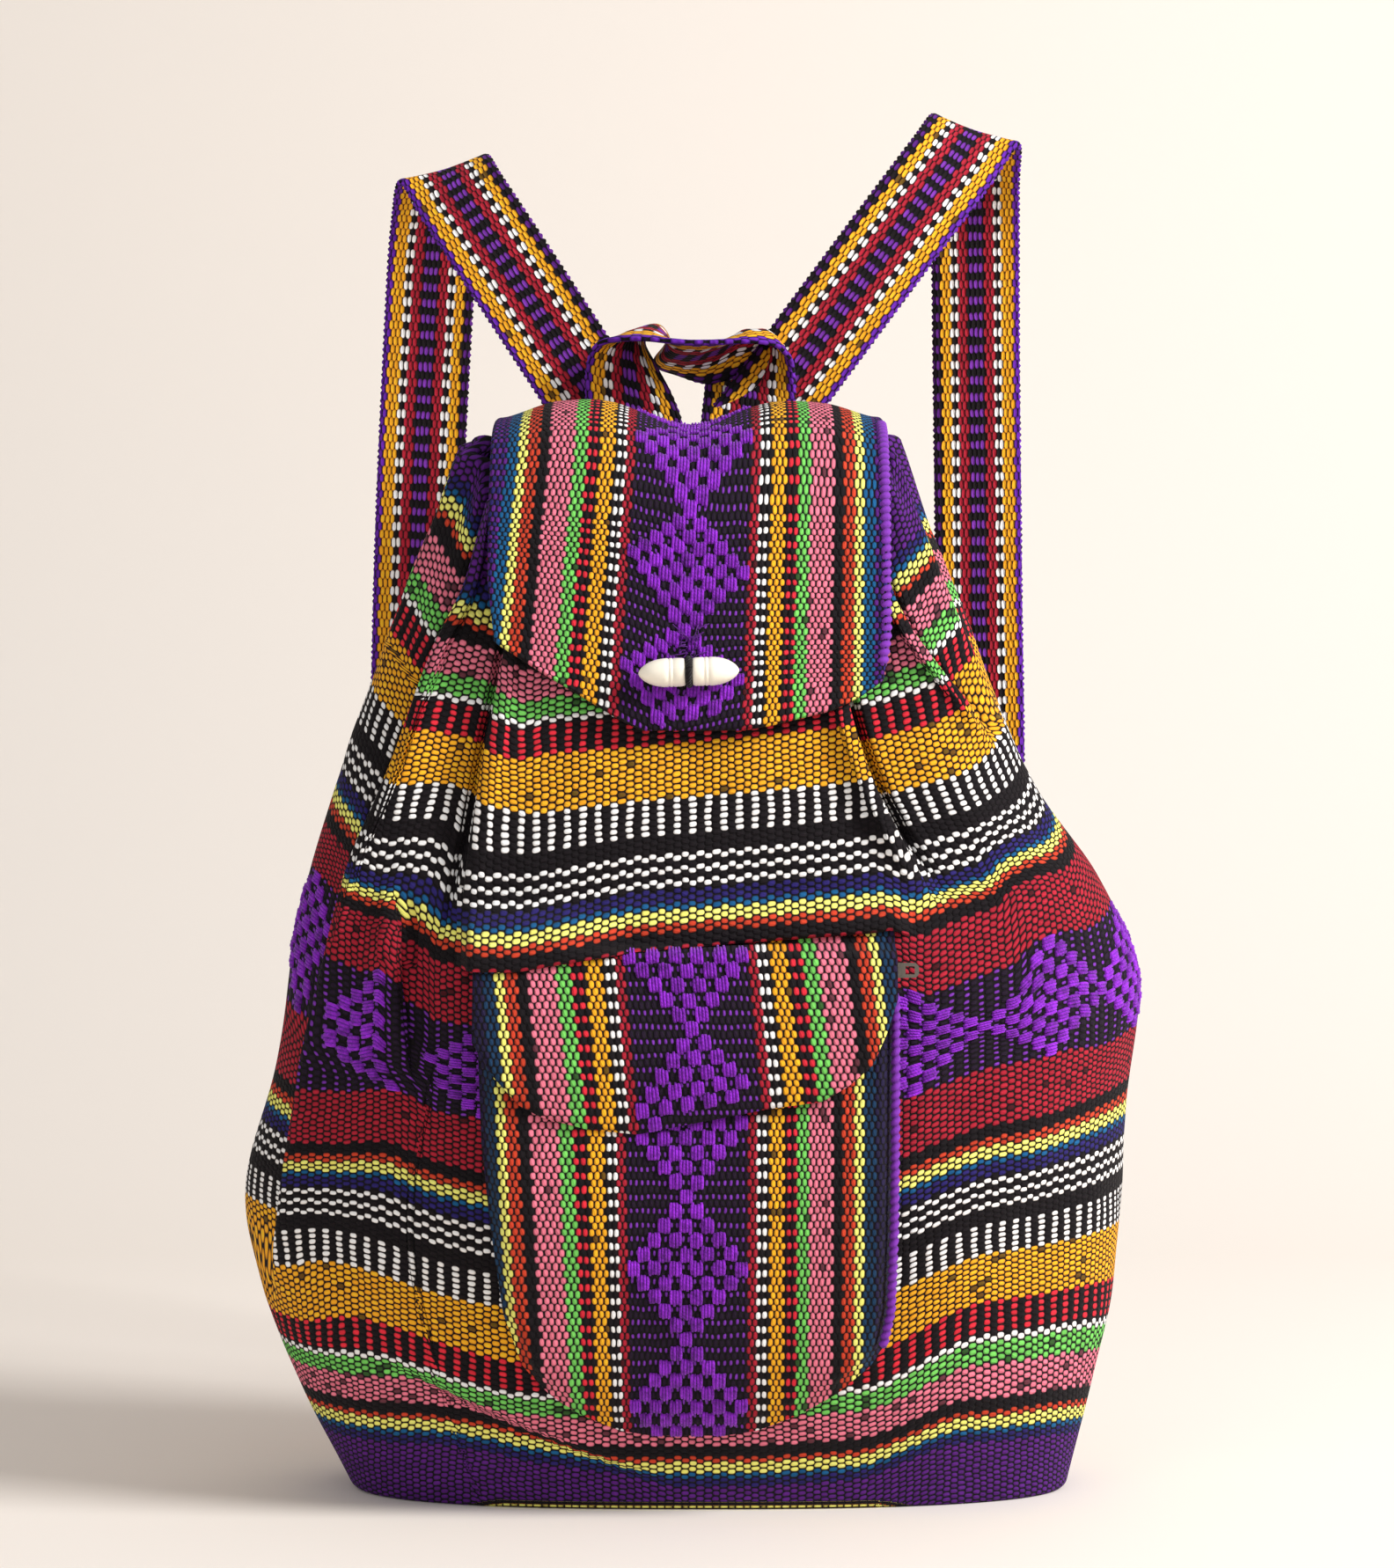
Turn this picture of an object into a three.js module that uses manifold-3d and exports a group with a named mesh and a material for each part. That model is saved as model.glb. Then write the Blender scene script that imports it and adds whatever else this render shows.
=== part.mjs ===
// A drawstring backpack of hand-woven cloth: a gathered sack on a flat base, a front
// flap held by a double-ended toggle, a zipped pocket under a flap of its own,
// two shoulder straps and a hanging loop, all cut from the same striped weaving.
// Millimetres, +Z up. The front faces -Y and +X is on the right of the front.
// The origin is the middle of the underside of the base.
import * as THREE from "three";
import Module from "manifold-3d";

const manifold = await Module();
manifold.setup();
const { Manifold, Mesh: SolidMesh } = manifold;

// Cloth, band and clearances
const SACK_CLOTH = 2;
const PATCH_CLOTH = 2.2;
const BAND_WIDTH = 38;
const BAND_THICKNESS = 2.4;
const SEWN_GAP = 0.4;
const MOVING_GAP = 0.35;

// Sack: half width or depth at each height of the full, standing bag
const LEFT_SIDE = [[0, 132], [60, 161], [112, 175], [165, 162], [225, 153], [300, 131], [411, 88]];
const RIGHT_SIDE = [
  [0, 148], [70, 164], [150, 171], [200, 175], [240, 160], [275, 136], [330, 112], [411, 78],
];
const FRONT_SIDE = [[0, 58], [50, 78], [120, 88], [215, 80], [300, 58], [377, 36], [411, 28]];
const BACK_SIDE = [[0, 56], [100, 66], [300, 60], [425, 52]];
const FRONT_SQUARENESS = 2.6;
const BACK_SQUARENESS = 3.2;
const BASE_EDGE_RADIUS = 6;
const MOUTH_FRONT_HEIGHT = 377;
const MOUTH_RISE = 34;
const RISE_SPAN = 250;
const RISE_FROM_ANGLE = THREE.MathUtils.degToRad(28);
const RISE_TO_ANGLE = THREE.MathUtils.degToRad(100);

// Long folds of the drawn-in front, each a rolled edge with the cloth beyond it tucked under:
// cloth from the front centre to the edge, depth, height it starts at, height it is full at
const FRONT_FOLDS = [[-148, 13, 105, 230], [-94, 9, 195, 285], [101, 13, 215, 285], [152, 10, 262, 325]];
const FOLD_BULGE_RUN = 16;
const FOLD_BULGE_SHARE = 0.35;
const FOLD_EDGE_RUN = 8;
const FOLD_TUCK_RUN = 36;

// Gathers of the sides and back, the turned hem of the mouth and the drawstring in it
const GATHER_COUNT = 14;
const GATHER_DEPTH = 6;
const GATHER_START = 225;
const GATHER_START_SPREAD = 45;
const PLAIN_FRONT_CLOTH = 160;
const GATHER_RAMP_CLOTH = 50;
const HEM_DEPTH = 24;
const CASING_ROOM = 4;
const CASING_GAP = 0.7;
const DRAWSTRING_WIDTH = 13;

// Main flap and its buttonhole; its edges are shares of the half width at distances from the tip
const FLAP_HALF_WIDTH = 78;
const FLAP_LEFT_EDGE = [[0, 0.23], [8, 0.41], [22, 0.69], [36, 0.95], [60, 0.99], [90, 1]];
const FLAP_RIGHT_EDGE = [[0, 0.28], [8, 0.69], [14, 0.83], [21, 0.95], [40, 0.98], [90, 1]];
const FLAP_MIDDLE_DIP = 11.5;
const FLAP_MIDDLE_DIP_REACH = 24;
const FLAP_END_DIP = 4;
const FLAP_DIP_FROM = 0.4;
const FLAP_DIP_FULL = 0.625;
const FLAP_DIP_WANES = 0.7;
const FLAP_DIP_TO = 0.825;
const FLAP_FRONT_DROP = 82;
const FLAP_TOP_ABOVE_MOUTH = 17;
const FLAP_SEAM_BELOW_MOUTH = 31;
const FLAP_BOW = 5;
const FLAP_REST_GAP = 0.6;
const BUTTONHOLE_WIDTH = 3.8;
const BUTTONHOLE_BELOW = 3;
const BUTTONHOLE_ABOVE = 13;

// Toggle and its cord
const TOGGLE_ABOVE_FLAP_TIP = 20;
const TOGGLE_LENGTH = 38;
const TOGGLE_RADIUS = 5.7;
const TOGGLE_WAIST_RADIUS = 3.2;
const TOGGLE_WAIST_LENGTH = 3.2;
const TOGGLE_RING_DEPTH = 0.4;
const TOGGLE_SHOULDER = 0.9;
const TOGGLE_GROOVES = [0.31, 0.39];
const TOGGLE_TIP = [[0.98, 0.5], [0.86, 0.7], [0.58, 0.87], [0.25, 0.97], [0, 1]];
const CORD_RADIUS = 1.3;
const CORD_KNOT_RADIUS = 3;
const CORD_HOLE_LENGTH = 60;

// Pocket panel; its edges are shares of the top half width at shares of its height
const POCKET_BOTTOM = 31;
const POCKET_TOP_HALF_WIDTH = 78;
const POCKET_LEFT_EDGE = [
  [0, 0.18], [0.05, 0.53], [0.095, 0.67], [0.16, 0.795], [0.28, 0.885], [0.47, 0.92], [1, 1],
];
const POCKET_RIGHT_EDGE = [
  [0, 0.18], [0.05, 0.54], [0.095, 0.705], [0.16, 0.87], [0.21, 0.935], [0.29, 0.975], [1, 1],
];
const POCKET_FULLNESS = 12;
const POCKET_SIDE_RUN = 7;

// Pocket flap, hanging lower on the left: shares across and heights above its lowest point
const POCKET_FLAP_HALF_WIDTH = 77;
const POCKET_FLAP_BOTTOM = 146;
const POCKET_FLAP_EDGE = [
  [-1, 32], [-0.92, 21], [-0.8, 11], [-0.7, 6.8], [-0.49, 2.5], [-0.25, 0.5],
  [0.39, 10], [0.64, 12.5], [0.77, 18.5], [0.88, 26], [0.95, 38], [1, 50],
];
const POCKET_FLAP_SEAM = 6;
const POCKET_FLAP_SEAM_ABOVE_ZIP = 10;
const ZIP_COVER = 9;

// Zip
const ZIP_HEIGHT = 206;
const ZIP_STANDOFF = 4.6;
const ZIP_LEFT = -68;
const ZIP_RIGHT = 70;
const TAPE_THICKNESS = 0.7;
const TAPE_WIDTH = 11;
const PANEL_TOP_BELOW_ZIP = 6;
const TEETH_PITCH = 3;
const TEETH_WIDTH = 1;
const TEETH_REACH = 0.9;
const TEETH_ROOT = 1.2;
const TEETH_OUTER = 2.6;
const TEETH_THICKNESS = 1.8;
const STOP_LENGTH = 2.2;
const STOP_HALF_HEIGHT = 4.4;
const STOP_HALF_THICKNESS = 1.2;

// Zip slider and pull
const SLIDER_X = 59;
const SLIDER_LENGTH = 11;
const SLIDER_PLATE = 1.1;
const SLIDER_TAIL_HALF_HEIGHT = 3.9;
const SLIDER_SHOULDER_HALF_HEIGHT = 4.8;
const SLIDER_NECK_HALF_HEIGHT = 1;
const SLIDER_NECK_FROM = 1.6;
const SLIDER_NECK_TO = 3.6;
const BRIDGE_THICKNESS = 0.9;
const BRIDGE_WIDTH = 2;
const BRIDGE_HALF_SPAN = 1.2;
const PULL_PIVOT_X = -0.7;
const PULL_BAR = 1.2;
const PULL_THICKNESS = 1;
const PULL_LENGTH = 27;
const PULL_ROOT_HALF_HEIGHT = 3.2;
const PULL_TIP_HALF_HEIGHT = 2.7;
const PULL_WINDOW_LENGTH = 3.4;
const PULL_WINDOW_HALF_HEIGHT = 1.5;
const PULL_WINDOW_FROM_TIP = 1.6;

// Shoulder straps and hanging loop
const STRAP_SEAM_ABOVE_FLAP_SEAM = 12;
const LEFT_STRAP_SEAM_X = -12;
const LEFT_STRAP_TOP_X = -104;
const LEFT_STRAP_RISE = 142;
const RIGHT_STRAP_SEAM_X = 4;
const RIGHT_STRAP_TOP_X = 121;
const RIGHT_STRAP_RISE = 159;
const STRAP_ARCH_DEPTH = 36;
const STRAP_ARCH_RUN = 26;
const STRAP_SWAY = 34;
const ARM_ROOM = 88;
const STRAP_FOOT_X = 96;
const STRAP_FOOT_HEIGHT = 15;
const STRAP_FOOT_LENGTH = 26;
const STRAP_FOOT_PEEL = 4;
const LOOP_SEAM_ABOVE_FLAP_SEAM = 6;

// Edges of the hanging loop from leg to leg: across, back from the seam and up from it
const LOOP_FRONT_EDGE = [
  [-42.3, 0, 0], [-42, 0, 32], [-41.5, -1, 51], [-40.5, -5, 62], [-35.5, -11, 67.6], [-18, -16, 67.6],
  [0, -17, 66.3], [18, -16, 67], [33.5, -11, 66.3], [41.5, -5, 61], [43, -1, 50], [43, 0, 32], [42.3, 0, 0],
];
const LOOP_BACK_EDGE = [
  [-4.5, 0, 0], [-3, 0, 28], [-6.5, 0.5, 44], [-11, 2, 56], [-13.5, 11, 67], [-9, 18, 76], [1, 20, 59],
  [15, 18, 73], [20, 12, 78], [13, 3, 63], [6, 1, 51], [4.2, 0, 30], [4.5, 0, 0],
];

// Number of facets
const AROUND = 64;
const SACK_ROWS = 16;
const FLAP_ROWS = 24;
const PATCH_COLUMNS = 12;
const POCKET_ROWS = 14;
const STRAP_STEPS = 44;
const LOOP_STEPS = 36;
const LOOP_COLUMNS = 4;

const mouthBackHeight = MOUTH_FRONT_HEIGHT + MOUTH_RISE;
const flapTipHeight = MOUTH_FRONT_HEIGHT - FLAP_FRONT_DROP;
const flapTopHeight = mouthBackHeight + FLAP_TOP_ABOVE_MOUTH;
const flapSeamHeight = mouthBackHeight - FLAP_SEAM_BELOW_MOUTH;
const zipChannel = TEETH_THICKNESS / 2 + MOVING_GAP;
const tapeEdge = TEETH_OUTER + MOVING_GAP;

function mix(a, b, share) {
  return a + (b - a) * share;
}

function smooth(share) {
  const s = Math.min(1, Math.max(0, share));
  return s * s * (3 - 2 * s);
}

// Value between the stations of a line, level beyond its ends.
function straight(stations, at) {
  const last = stations.length - 2;
  let k = 0;
  while (k < last && at > stations[k + 1][0]) k += 1;
  const share = (at - stations[k][0]) / (stations[k + 1][0] - stations[k][0]);
  return mix(stations[k][1], stations[k + 1][1], Math.min(1, Math.max(0, share)));
}

// Smooth value of a profile at a height, straight beyond its end stations.
function profile(stations, height) {
  const last = stations.length - 2;
  let k = 0;
  while (k < last && height > stations[k + 1][0]) k += 1;
  const slope = (a, b) => (stations[b][1] - stations[a][1]) / (stations[b][0] - stations[a][0]);
  const [h0, v0] = stations[k];
  const [h1, v1] = stations[k + 1];
  const startSlope = k > 0 ? slope(k - 1, k + 1) : slope(0, 1);
  const endSlope = k < last ? slope(k, k + 2) : slope(k, k + 1);
  if (height <= h0) return v0 + startSlope * (height - h0);
  if (height >= h1) return v1 + endSlope * (height - h1);
  const span = h1 - h0;
  const t = (height - h0) / span;
  const rise = smooth(t);
  const startTangent = t * (1 - t) * (1 - t) * span * startSlope;
  const endTangent = t * t * (t - 1) * span * endSlope;
  return mix(v0, v1, rise) + startTangent + endTangent;
}

function frontFace(x, z) {
  const half = profile(x < 0 ? LEFT_SIDE : RIGHT_SIDE, z);
  const share = Math.min(1, Math.abs(x) / half);
  const depth = profile(FRONT_SIDE, z);
  return -depth * Math.pow(1 - Math.pow(share, FRONT_SQUARENESS), 1 / FRONT_SQUARENESS);
}

function backFace(x, z) {
  const half = profile(x < 0 ? LEFT_SIDE : RIGHT_SIDE, z);
  const share = Math.min(1, Math.abs(x) / half);
  const depth = profile(BACK_SIDE, z);
  return depth * Math.pow(1 - Math.pow(share, BACK_SQUARENESS), 1 / BACK_SQUARENESS);
}

// Unit outline of the sack at an angle from the front centre towards +X.
function unitOval(angle) {
  const power = 2 / (Math.cos(angle) > 0 ? FRONT_SQUARENESS : BACK_SQUARENESS);
  const x = Math.sign(Math.sin(angle)) * Math.pow(Math.abs(Math.sin(angle)), power);
  const y = -Math.sign(Math.cos(angle)) * Math.pow(Math.abs(Math.cos(angle)), power);
  return new THREE.Vector2(x, y);
}

// Outline of the sack at the height of the zip, with the cloth run so far at each point.
function clothOutline() {
  const samples = 1440;
  const outline = [];
  for (let k = 0; k <= samples; k += 1) {
    const angle = (2 * Math.PI * k) / samples;
    const unit = unitOval(angle);
    const half = profile(unit.x < 0 ? LEFT_SIDE : RIGHT_SIDE, ZIP_HEIGHT);
    const depth = profile(unit.y < 0 ? FRONT_SIDE : BACK_SIDE, ZIP_HEIGHT);
    const point = new THREE.Vector2(unit.x * half, unit.y * depth);
    const before = outline[k - 1];
    const run = before ? before.run + before.point.distanceTo(point) : 0;
    outline.push({ angle, unit, point, run });
  }
  return outline;
}

const CLOTH_OUTLINE = clothOutline();
const clothRound = CLOTH_OUTLINE[CLOTH_OUTLINE.length - 1].run;

// Steps of cloth round the sack from the front centre: equal ones, and both sides of each fold.
function clothSteps() {
  const folds = FRONT_FOLDS.flatMap(([edge]) => [edge, edge + Math.sign(edge) * FOLD_EDGE_RUN]);
  const marks = folds.map((run) => (run + clothRound) % clothRound);
  const near = clothRound / AROUND / 2;
  const runs = marks.slice();
  for (let i = 0; i < AROUND; i += 1) {
    const run = (clothRound * i) / AROUND;
    if (marks.every((mark) => Math.abs(mark - run) > near)) runs.push(run);
  }
  const last = CLOTH_OUTLINE.length - 1;
  return runs.sort((a, b) => a - b).map((run) => {
    const k = CLOTH_OUTLINE.findIndex((entry) => entry.run >= run);
    const ahead = CLOTH_OUTLINE[(k + 1) % last].point;
    const behind = CLOTH_OUTLINE[(k - 1 + last) % last].point;
    const outward = new THREE.Vector2(ahead.y - behind.y, behind.x - ahead.x).normalize();
    return { run, angle: CLOTH_OUTLINE[k].angle, unit: CLOTH_OUTLINE[k].unit, outward };
  });
}

const CLOTH_STEPS = clothSteps();

// Rise or drop of the cloth at the long folds of the front.
function foldOffset(fromCentre, height) {
  return FRONT_FOLDS.reduce((sum, [edge, depth, start, full]) => {
    const beyond = (fromCentre - edge) * Math.sign(edge);
    const bulge = FOLD_BULGE_SHARE * smooth(1 + beyond / FOLD_BULGE_RUN);
    const drop = smooth(beyond / FOLD_EDGE_RUN);
    const back = (1 - FOLD_BULGE_SHARE) * smooth((beyond - FOLD_EDGE_RUN) / FOLD_TUCK_RUN);
    return sum + depth * smooth((height - start) / (full - start)) * (bulge - drop + back);
  }, 0);
}

// Waves of the gathered sides and back, growing up to the mouth.
function gatherOffset(fromCentre, height) {
  const turn = (2 * Math.PI * fromCentre) / clothRound;
  const start = GATHER_START + GATHER_START_SPREAD * Math.sin(3 * turn + 1);
  const growth = smooth((height - start) / (MOUTH_FRONT_HEIGHT - start));
  const ramp = smooth((Math.abs(fromCentre) - PLAIN_FRONT_CLOTH) / GATHER_RAMP_CLOTH);
  return GATHER_DEPTH * growth * ramp * Math.cos(GATHER_COUNT * turn);
}

// Point of the sack cloth: the sides and back hang higher than the sagging front.
function sackPoint({ run, angle, unit, outward }, height, inset) {
  const fromFront = Math.min(angle, 2 * Math.PI - angle);
  const lift = smooth((fromFront - RISE_FROM_ANGLE) / (RISE_TO_ANGLE - RISE_FROM_ANGLE));
  const z = height + MOUTH_RISE * smooth(height / RISE_SPAN) * lift;
  const half = profile(unit.x < 0 ? LEFT_SIDE : RIGHT_SIDE, z) - inset;
  const depth = profile(unit.y < 0 ? FRONT_SIDE : BACK_SIDE, z) - inset;
  const fromCentre = run > clothRound / 2 ? run - clothRound : run;
  const out = foldOffset(fromCentre, height) + gatherOffset(fromCentre, height);
  return new THREE.Vector3(unit.x * half + outward.x * out, unit.y * depth + outward.y * out, z);
}

function sackRing(height, inset) {
  return CLOTH_STEPS.map((step) => sackPoint(step, height, inset));
}

function signedVolume(points, faces) {
  const corner = new THREE.Vector3();
  const total = faces.reduce((sum, [a, b, c]) => {
    return sum + corner.copy(points[a]).cross(points[b]).dot(points[c]);
  }, 0);
  return total / 6;
}

function closedGeometry(points, faces) {
  const outward = signedVolume(points, faces) < 0 ? faces.map(([a, b, c]) => [a, c, b]) : faces;
  const geometry = new THREE.BufferGeometry().setFromPoints(points);
  geometry.setIndex(outward.flat());
  geometry.computeVertexNormals();
  return geometry;
}

// Skin through closed rings of equal length, capped at both ends or joined end to end.
function loft(rings, joined) {
  const count = rings[0].length;
  const points = rings.flat();
  const faces = [];
  const bands = joined ? rings.length : rings.length - 1;
  for (let r = 0; r < bands; r += 1) {
    const next = (r + 1) % rings.length;
    for (let k = 0; k < count; k += 1) {
      const after = (k + 1) % count;
      faces.push([r * count + k, r * count + after, next * count + after]);
      faces.push([r * count + k, next * count + after, next * count + k]);
    }
  }
  if (joined) return closedGeometry(points, faces);
  [0, rings.length - 1].forEach((r) => {
    const middle = new THREE.Vector3();
    rings[r].forEach((point) => middle.addScaledVector(point, 1 / count));
    const centre = points.push(middle) - 1;
    for (let k = 0; k < count; k += 1) {
      const edge = [r * count + k, r * count + ((k + 1) % count)];
      faces.push(r === 0 ? [centre, edge[1], edge[0]] : [centre, edge[0], edge[1]]);
    }
  });
  return closedGeometry(points, faces);
}

// Sheet between an outer and an inner grid of points, each a list of rows.
function sheet(outer, inner) {
  const rings = outer.map((row, r) => [...row, ...inner[r].slice().reverse()]);
  const count = rings[0].length;
  const width = outer[0].length;
  const points = rings.flat();
  const faces = [];
  for (let r = 0; r < rings.length - 1; r += 1) {
    for (let k = 0; k < count; k += 1) {
      const after = (k + 1) % count;
      faces.push([r * count + k, r * count + after, (r + 1) * count + after]);
      faces.push([r * count + k, (r + 1) * count + after, (r + 1) * count + k]);
    }
  }
  [0, rings.length - 1].forEach((r) => {
    for (let k = 0; k < width - 1; k += 1) {
      const a = r * count + k;
      const b = a + 1;
      const c = r * count + count - 2 - k;
      const d = c + 1;
      faces.push(...(r === 0 ? [[a, c, b], [a, d, c]] : [[a, b, c], [a, c, d]]));
    }
  });
  return closedGeometry(points, faces);
}

// Woven band along a path, its flat face turned by the width directions given.
function band(pathPoints, widthPoints, steps) {
  const path = new THREE.CatmullRomCurve3(pathPoints);
  const widths = new THREE.CatmullRomCurve3(widthPoints, false, "catmullrom", 0);
  const half = BAND_WIDTH / 2;
  const bevel = BAND_THICKNESS / 2;
  const outline = [[-half, 0], [bevel - half, bevel], [half - bevel, bevel]];
  const rings = [];
  for (let k = 0; k <= steps; k += 1) {
    const t = k / steps;
    const along = path.getTangent(t);
    const across = widths.getPoint(t);
    across.addScaledVector(along, -across.dot(along)).normalize();
    const normal = along.clone().cross(across);
    const centre = path.getPoint(t);
    const side = (sign) => ([width, out]) => {
      const point = centre.clone().addScaledVector(across, sign * width);
      return point.addScaledVector(normal, sign * out);
    };
    rings.push([...outline.map(side(1)), ...outline.map(side(-1))]);
  }
  return loft(rings, false);
}

function toSolid(geometry) {
  const position = geometry.getAttribute("position");
  const index = geometry.getIndex();
  const order = index ? index.array : Uint32Array.from({ length: position.count }, (_, k) => k);
  const mesh = new SolidMesh({
    numProp: 3,
    vertProperties: Float32Array.from(position.array),
    triVerts: Uint32Array.from(order),
  });
  mesh.merge();
  return new Manifold(mesh);
}

function toGeometry(solid) {
  const mesh = solid.getMesh();
  const geometry = new THREE.BufferGeometry();
  geometry.setAttribute("position", new THREE.BufferAttribute(mesh.vertProperties, mesh.numProp));
  geometry.setIndex(new THREE.BufferAttribute(mesh.triVerts, 1));
  geometry.computeVertexNormals();
  return geometry;
}

function joinAll(geometries) {
  return toGeometry(geometries.map(toSolid).reduce((sum, solid) => sum.add(solid)));
}

function cutOut(geometry, tools) {
  const whole = toSolid(geometry);
  return toGeometry(tools.map(toSolid).reduce((rest, tool) => rest.subtract(tool), whole));
}

function box(x0, x1, y0, y1, z0, z1) {
  const geometry = new THREE.BoxGeometry(x1 - x0, y1 - y0, z1 - z0);
  return geometry.translate((x0 + x1) / 2, (y0 + y1) / 2, (z0 + z1) / 2);
}

// Flat shape drawn in X and Z, given a thickness from one depth to another.
function plate(shape, yFront, yBack) {
  const geometry = new THREE.ExtrudeGeometry(shape, { depth: yBack - yFront, bevelEnabled: false });
  geometry.rotateX(Math.PI / 2);
  return geometry.translate(0, yBack, 0);
}

function outlineShape(corners) {
  return new THREE.Shape(corners.map(([x, z]) => new THREE.Vector2(x, z)));
}

const sackCloud = [];
for (let height = BASE_EDGE_RADIUS; height <= MOUTH_FRONT_HEIGHT; height += 5) {
  sackCloud.push(...sackRing(height, 0));
}
sackCloud.push(...sackRing(MOUTH_FRONT_HEIGHT, 0));

// Depth at which a bowed sheet of the flap's width comes to rest on the sack.
function restDepth(z, facing) {
  const near = sackCloud.filter((p) => {
    return Math.abs(p.z - z) < 6 && Math.abs(p.x) < FLAP_HALF_WIDTH + 4 && p.y * facing > 0;
  });
  const reach = near.map((p) => p.y * facing + FLAP_BOW * (p.x / FLAP_HALF_WIDTH) ** 2);
  return facing * (Math.max(...reach) + FLAP_REST_GAP);
}

const flapBackDepth = Math.max(restDepth(mouthBackHeight - 2, 1), restDepth(flapSeamHeight, 1));

// Middle line of the flap's inner face, from its tip over the mouth to the back seam.
function flapLine() {
  const points = [];
  const frontRows = 5;
  for (let k = 0; k < frontRows; k += 1) {
    const z = mix(flapTipHeight, MOUTH_FRONT_HEIGHT, k / (frontRows - 1));
    points.push(new THREE.Vector3(0, restDepth(z, -1), z));
  }
  const frontTop = points[frontRows - 1].y;
  const overMouth = (share, z) => new THREE.Vector3(0, mix(frontTop, flapBackDepth, share), z);
  points.push(overMouth(0.22, mix(MOUTH_FRONT_HEIGHT, flapTopHeight, 0.68)));
  points.push(overMouth(0.5, mix(MOUTH_FRONT_HEIGHT, flapTopHeight, 0.95)));
  points.push(overMouth(0.78, flapTopHeight));
  points.push(overMouth(0.98, mix(mouthBackHeight, flapTopHeight, 0.45)));
  points.push(new THREE.Vector3(0, flapBackDepth, mix(flapSeamHeight, mouthBackHeight, 0.6)));
  points.push(new THREE.Vector3(0, flapBackDepth, flapSeamHeight));
  return new THREE.CatmullRomCurve3(points);
}

const FLAP_LINE = flapLine();

// Sag of the flap over the mouth, between the legs of the hanging loop and at its ends.
function flapDip(share, x) {
  const along = FLAP_LINE.getUtoTmapping(share);
  const rising = smooth((along - FLAP_DIP_FROM) / (FLAP_DIP_FULL - FLAP_DIP_FROM));
  const falling = smooth((along - FLAP_DIP_WANES) / (FLAP_DIP_TO - FLAP_DIP_WANES));
  const middle = FLAP_MIDDLE_DIP * Math.exp(-((x / FLAP_MIDDLE_DIP_REACH) ** 2));
  const ends = FLAP_END_DIP * smooth((3 * Math.abs(x)) / FLAP_HALF_WIDTH - 2);
  return rising * (1 - falling) * (middle + ends);
}

// Point on the flap: a share of its length from the tip, a distance across, a layer out.
function flapPoint(share, x, out) {
  const tangent = FLAP_LINE.getTangentAt(share);
  const normal = new THREE.Vector3(0, -tangent.z, tangent.y);
  const bow = FLAP_BOW * (x / FLAP_HALF_WIDTH) ** 2;
  const point = FLAP_LINE.getPointAt(share).addScaledVector(normal, out - bow);
  return point.set(x, point.y, point.z - flapDip(share, x));
}

function flapShareAt(height) {
  let low = 0;
  let high = 0.4;
  for (let k = 0; k < 30; k += 1) {
    const middle = (low + high) / 2;
    if (FLAP_LINE.getPointAt(middle).z < height) low = middle;
    else high = middle;
  }
  return low;
}

// Where the toggle's shank stands on the flap, and the way it points out.
const toggleShare = flapShareAt(flapTipHeight + TOGGLE_ABOVE_FLAP_TIP);
const toggleFoot = flapPoint(toggleShare, 0, PATCH_CLOTH);
const toggleOut = flapPoint(toggleShare, 0, 1).sub(flapPoint(toggleShare, 0, 0)).normalize();
const toggleCentre = toggleFoot.clone().addScaledVector(toggleOut, TOGGLE_RADIUS + SEWN_GAP);

// Turns a shape drawn round the toggle's own axes to where the toggle lies.
function ontoFlap(geometry) {
  const up = toggleOut.clone().cross(new THREE.Vector3(1, 0, 0));
  const along = new THREE.Vector3(1, 0, 0);
  const turn = new THREE.Matrix4().makeBasis(along, toggleOut.clone().negate(), up);
  turn.setPosition(toggleCentre);
  return geometry.applyMatrix4(turn);
}

// Distance from the toggle's middle in to the inner face of the sack cloth.
function sackInnerDistance() {
  const point = toggleCentre.clone();
  let distance = 0;
  while (point.y < frontFace(0, point.z) + SACK_CLOTH + SEWN_GAP) {
    distance += 0.1;
    point.addScaledVector(toggleOut, -0.1);
  }
  return distance;
}

function sack() {
  const edge = (radius) => (turn) => {
    const away = BASE_EDGE_RADIUS - radius * Math.sin(turn);
    const up = BASE_EDGE_RADIUS - radius * Math.cos(turn);
    return sackRing(up, away);
  };
  const turns = [0, Math.PI / 4, Math.PI / 2];
  const outerEdge = turns.map(edge(BASE_EDGE_RADIUS));
  const innerEdge = turns.map(edge(BASE_EDGE_RADIUS - SACK_CLOTH));
  const hemOuter = SACK_CLOTH + CASING_ROOM;
  const hemInner = hemOuter + SACK_CLOTH;
  const hemBottom = MOUTH_FRONT_HEIGHT - HEM_DEPTH;
  const casingTop = MOUTH_FRONT_HEIGHT - SACK_CLOTH;
  const wall = (inset) => {
    const rows = [];
    for (let r = 1; r <= SACK_ROWS; r += 1) {
      rows.push(sackRing(mix(BASE_EDGE_RADIUS, hemBottom, r / SACK_ROWS), inset));
    }
    return rows;
  };
  const rings = [
    ...outerEdge,
    ...wall(0),
    sackRing(MOUTH_FRONT_HEIGHT, 0),
    sackRing(MOUTH_FRONT_HEIGHT, hemInner),
    sackRing(hemBottom, hemInner),
    sackRing(hemBottom, hemOuter),
    sackRing(casingTop, hemOuter),
    sackRing(casingTop, SACK_CLOTH),
    ...wall(SACK_CLOTH).reverse(),
    ...innerEdge.reverse(),
  ];
  const holeRadius = CORD_RADIUS + MOVING_GAP;
  const hole = new THREE.CylinderGeometry(holeRadius, holeRadius, CORD_HOLE_LENGTH, 14);
  return cutOut(loft(rings, false), [ontoFlap(hole)]);
}

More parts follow.
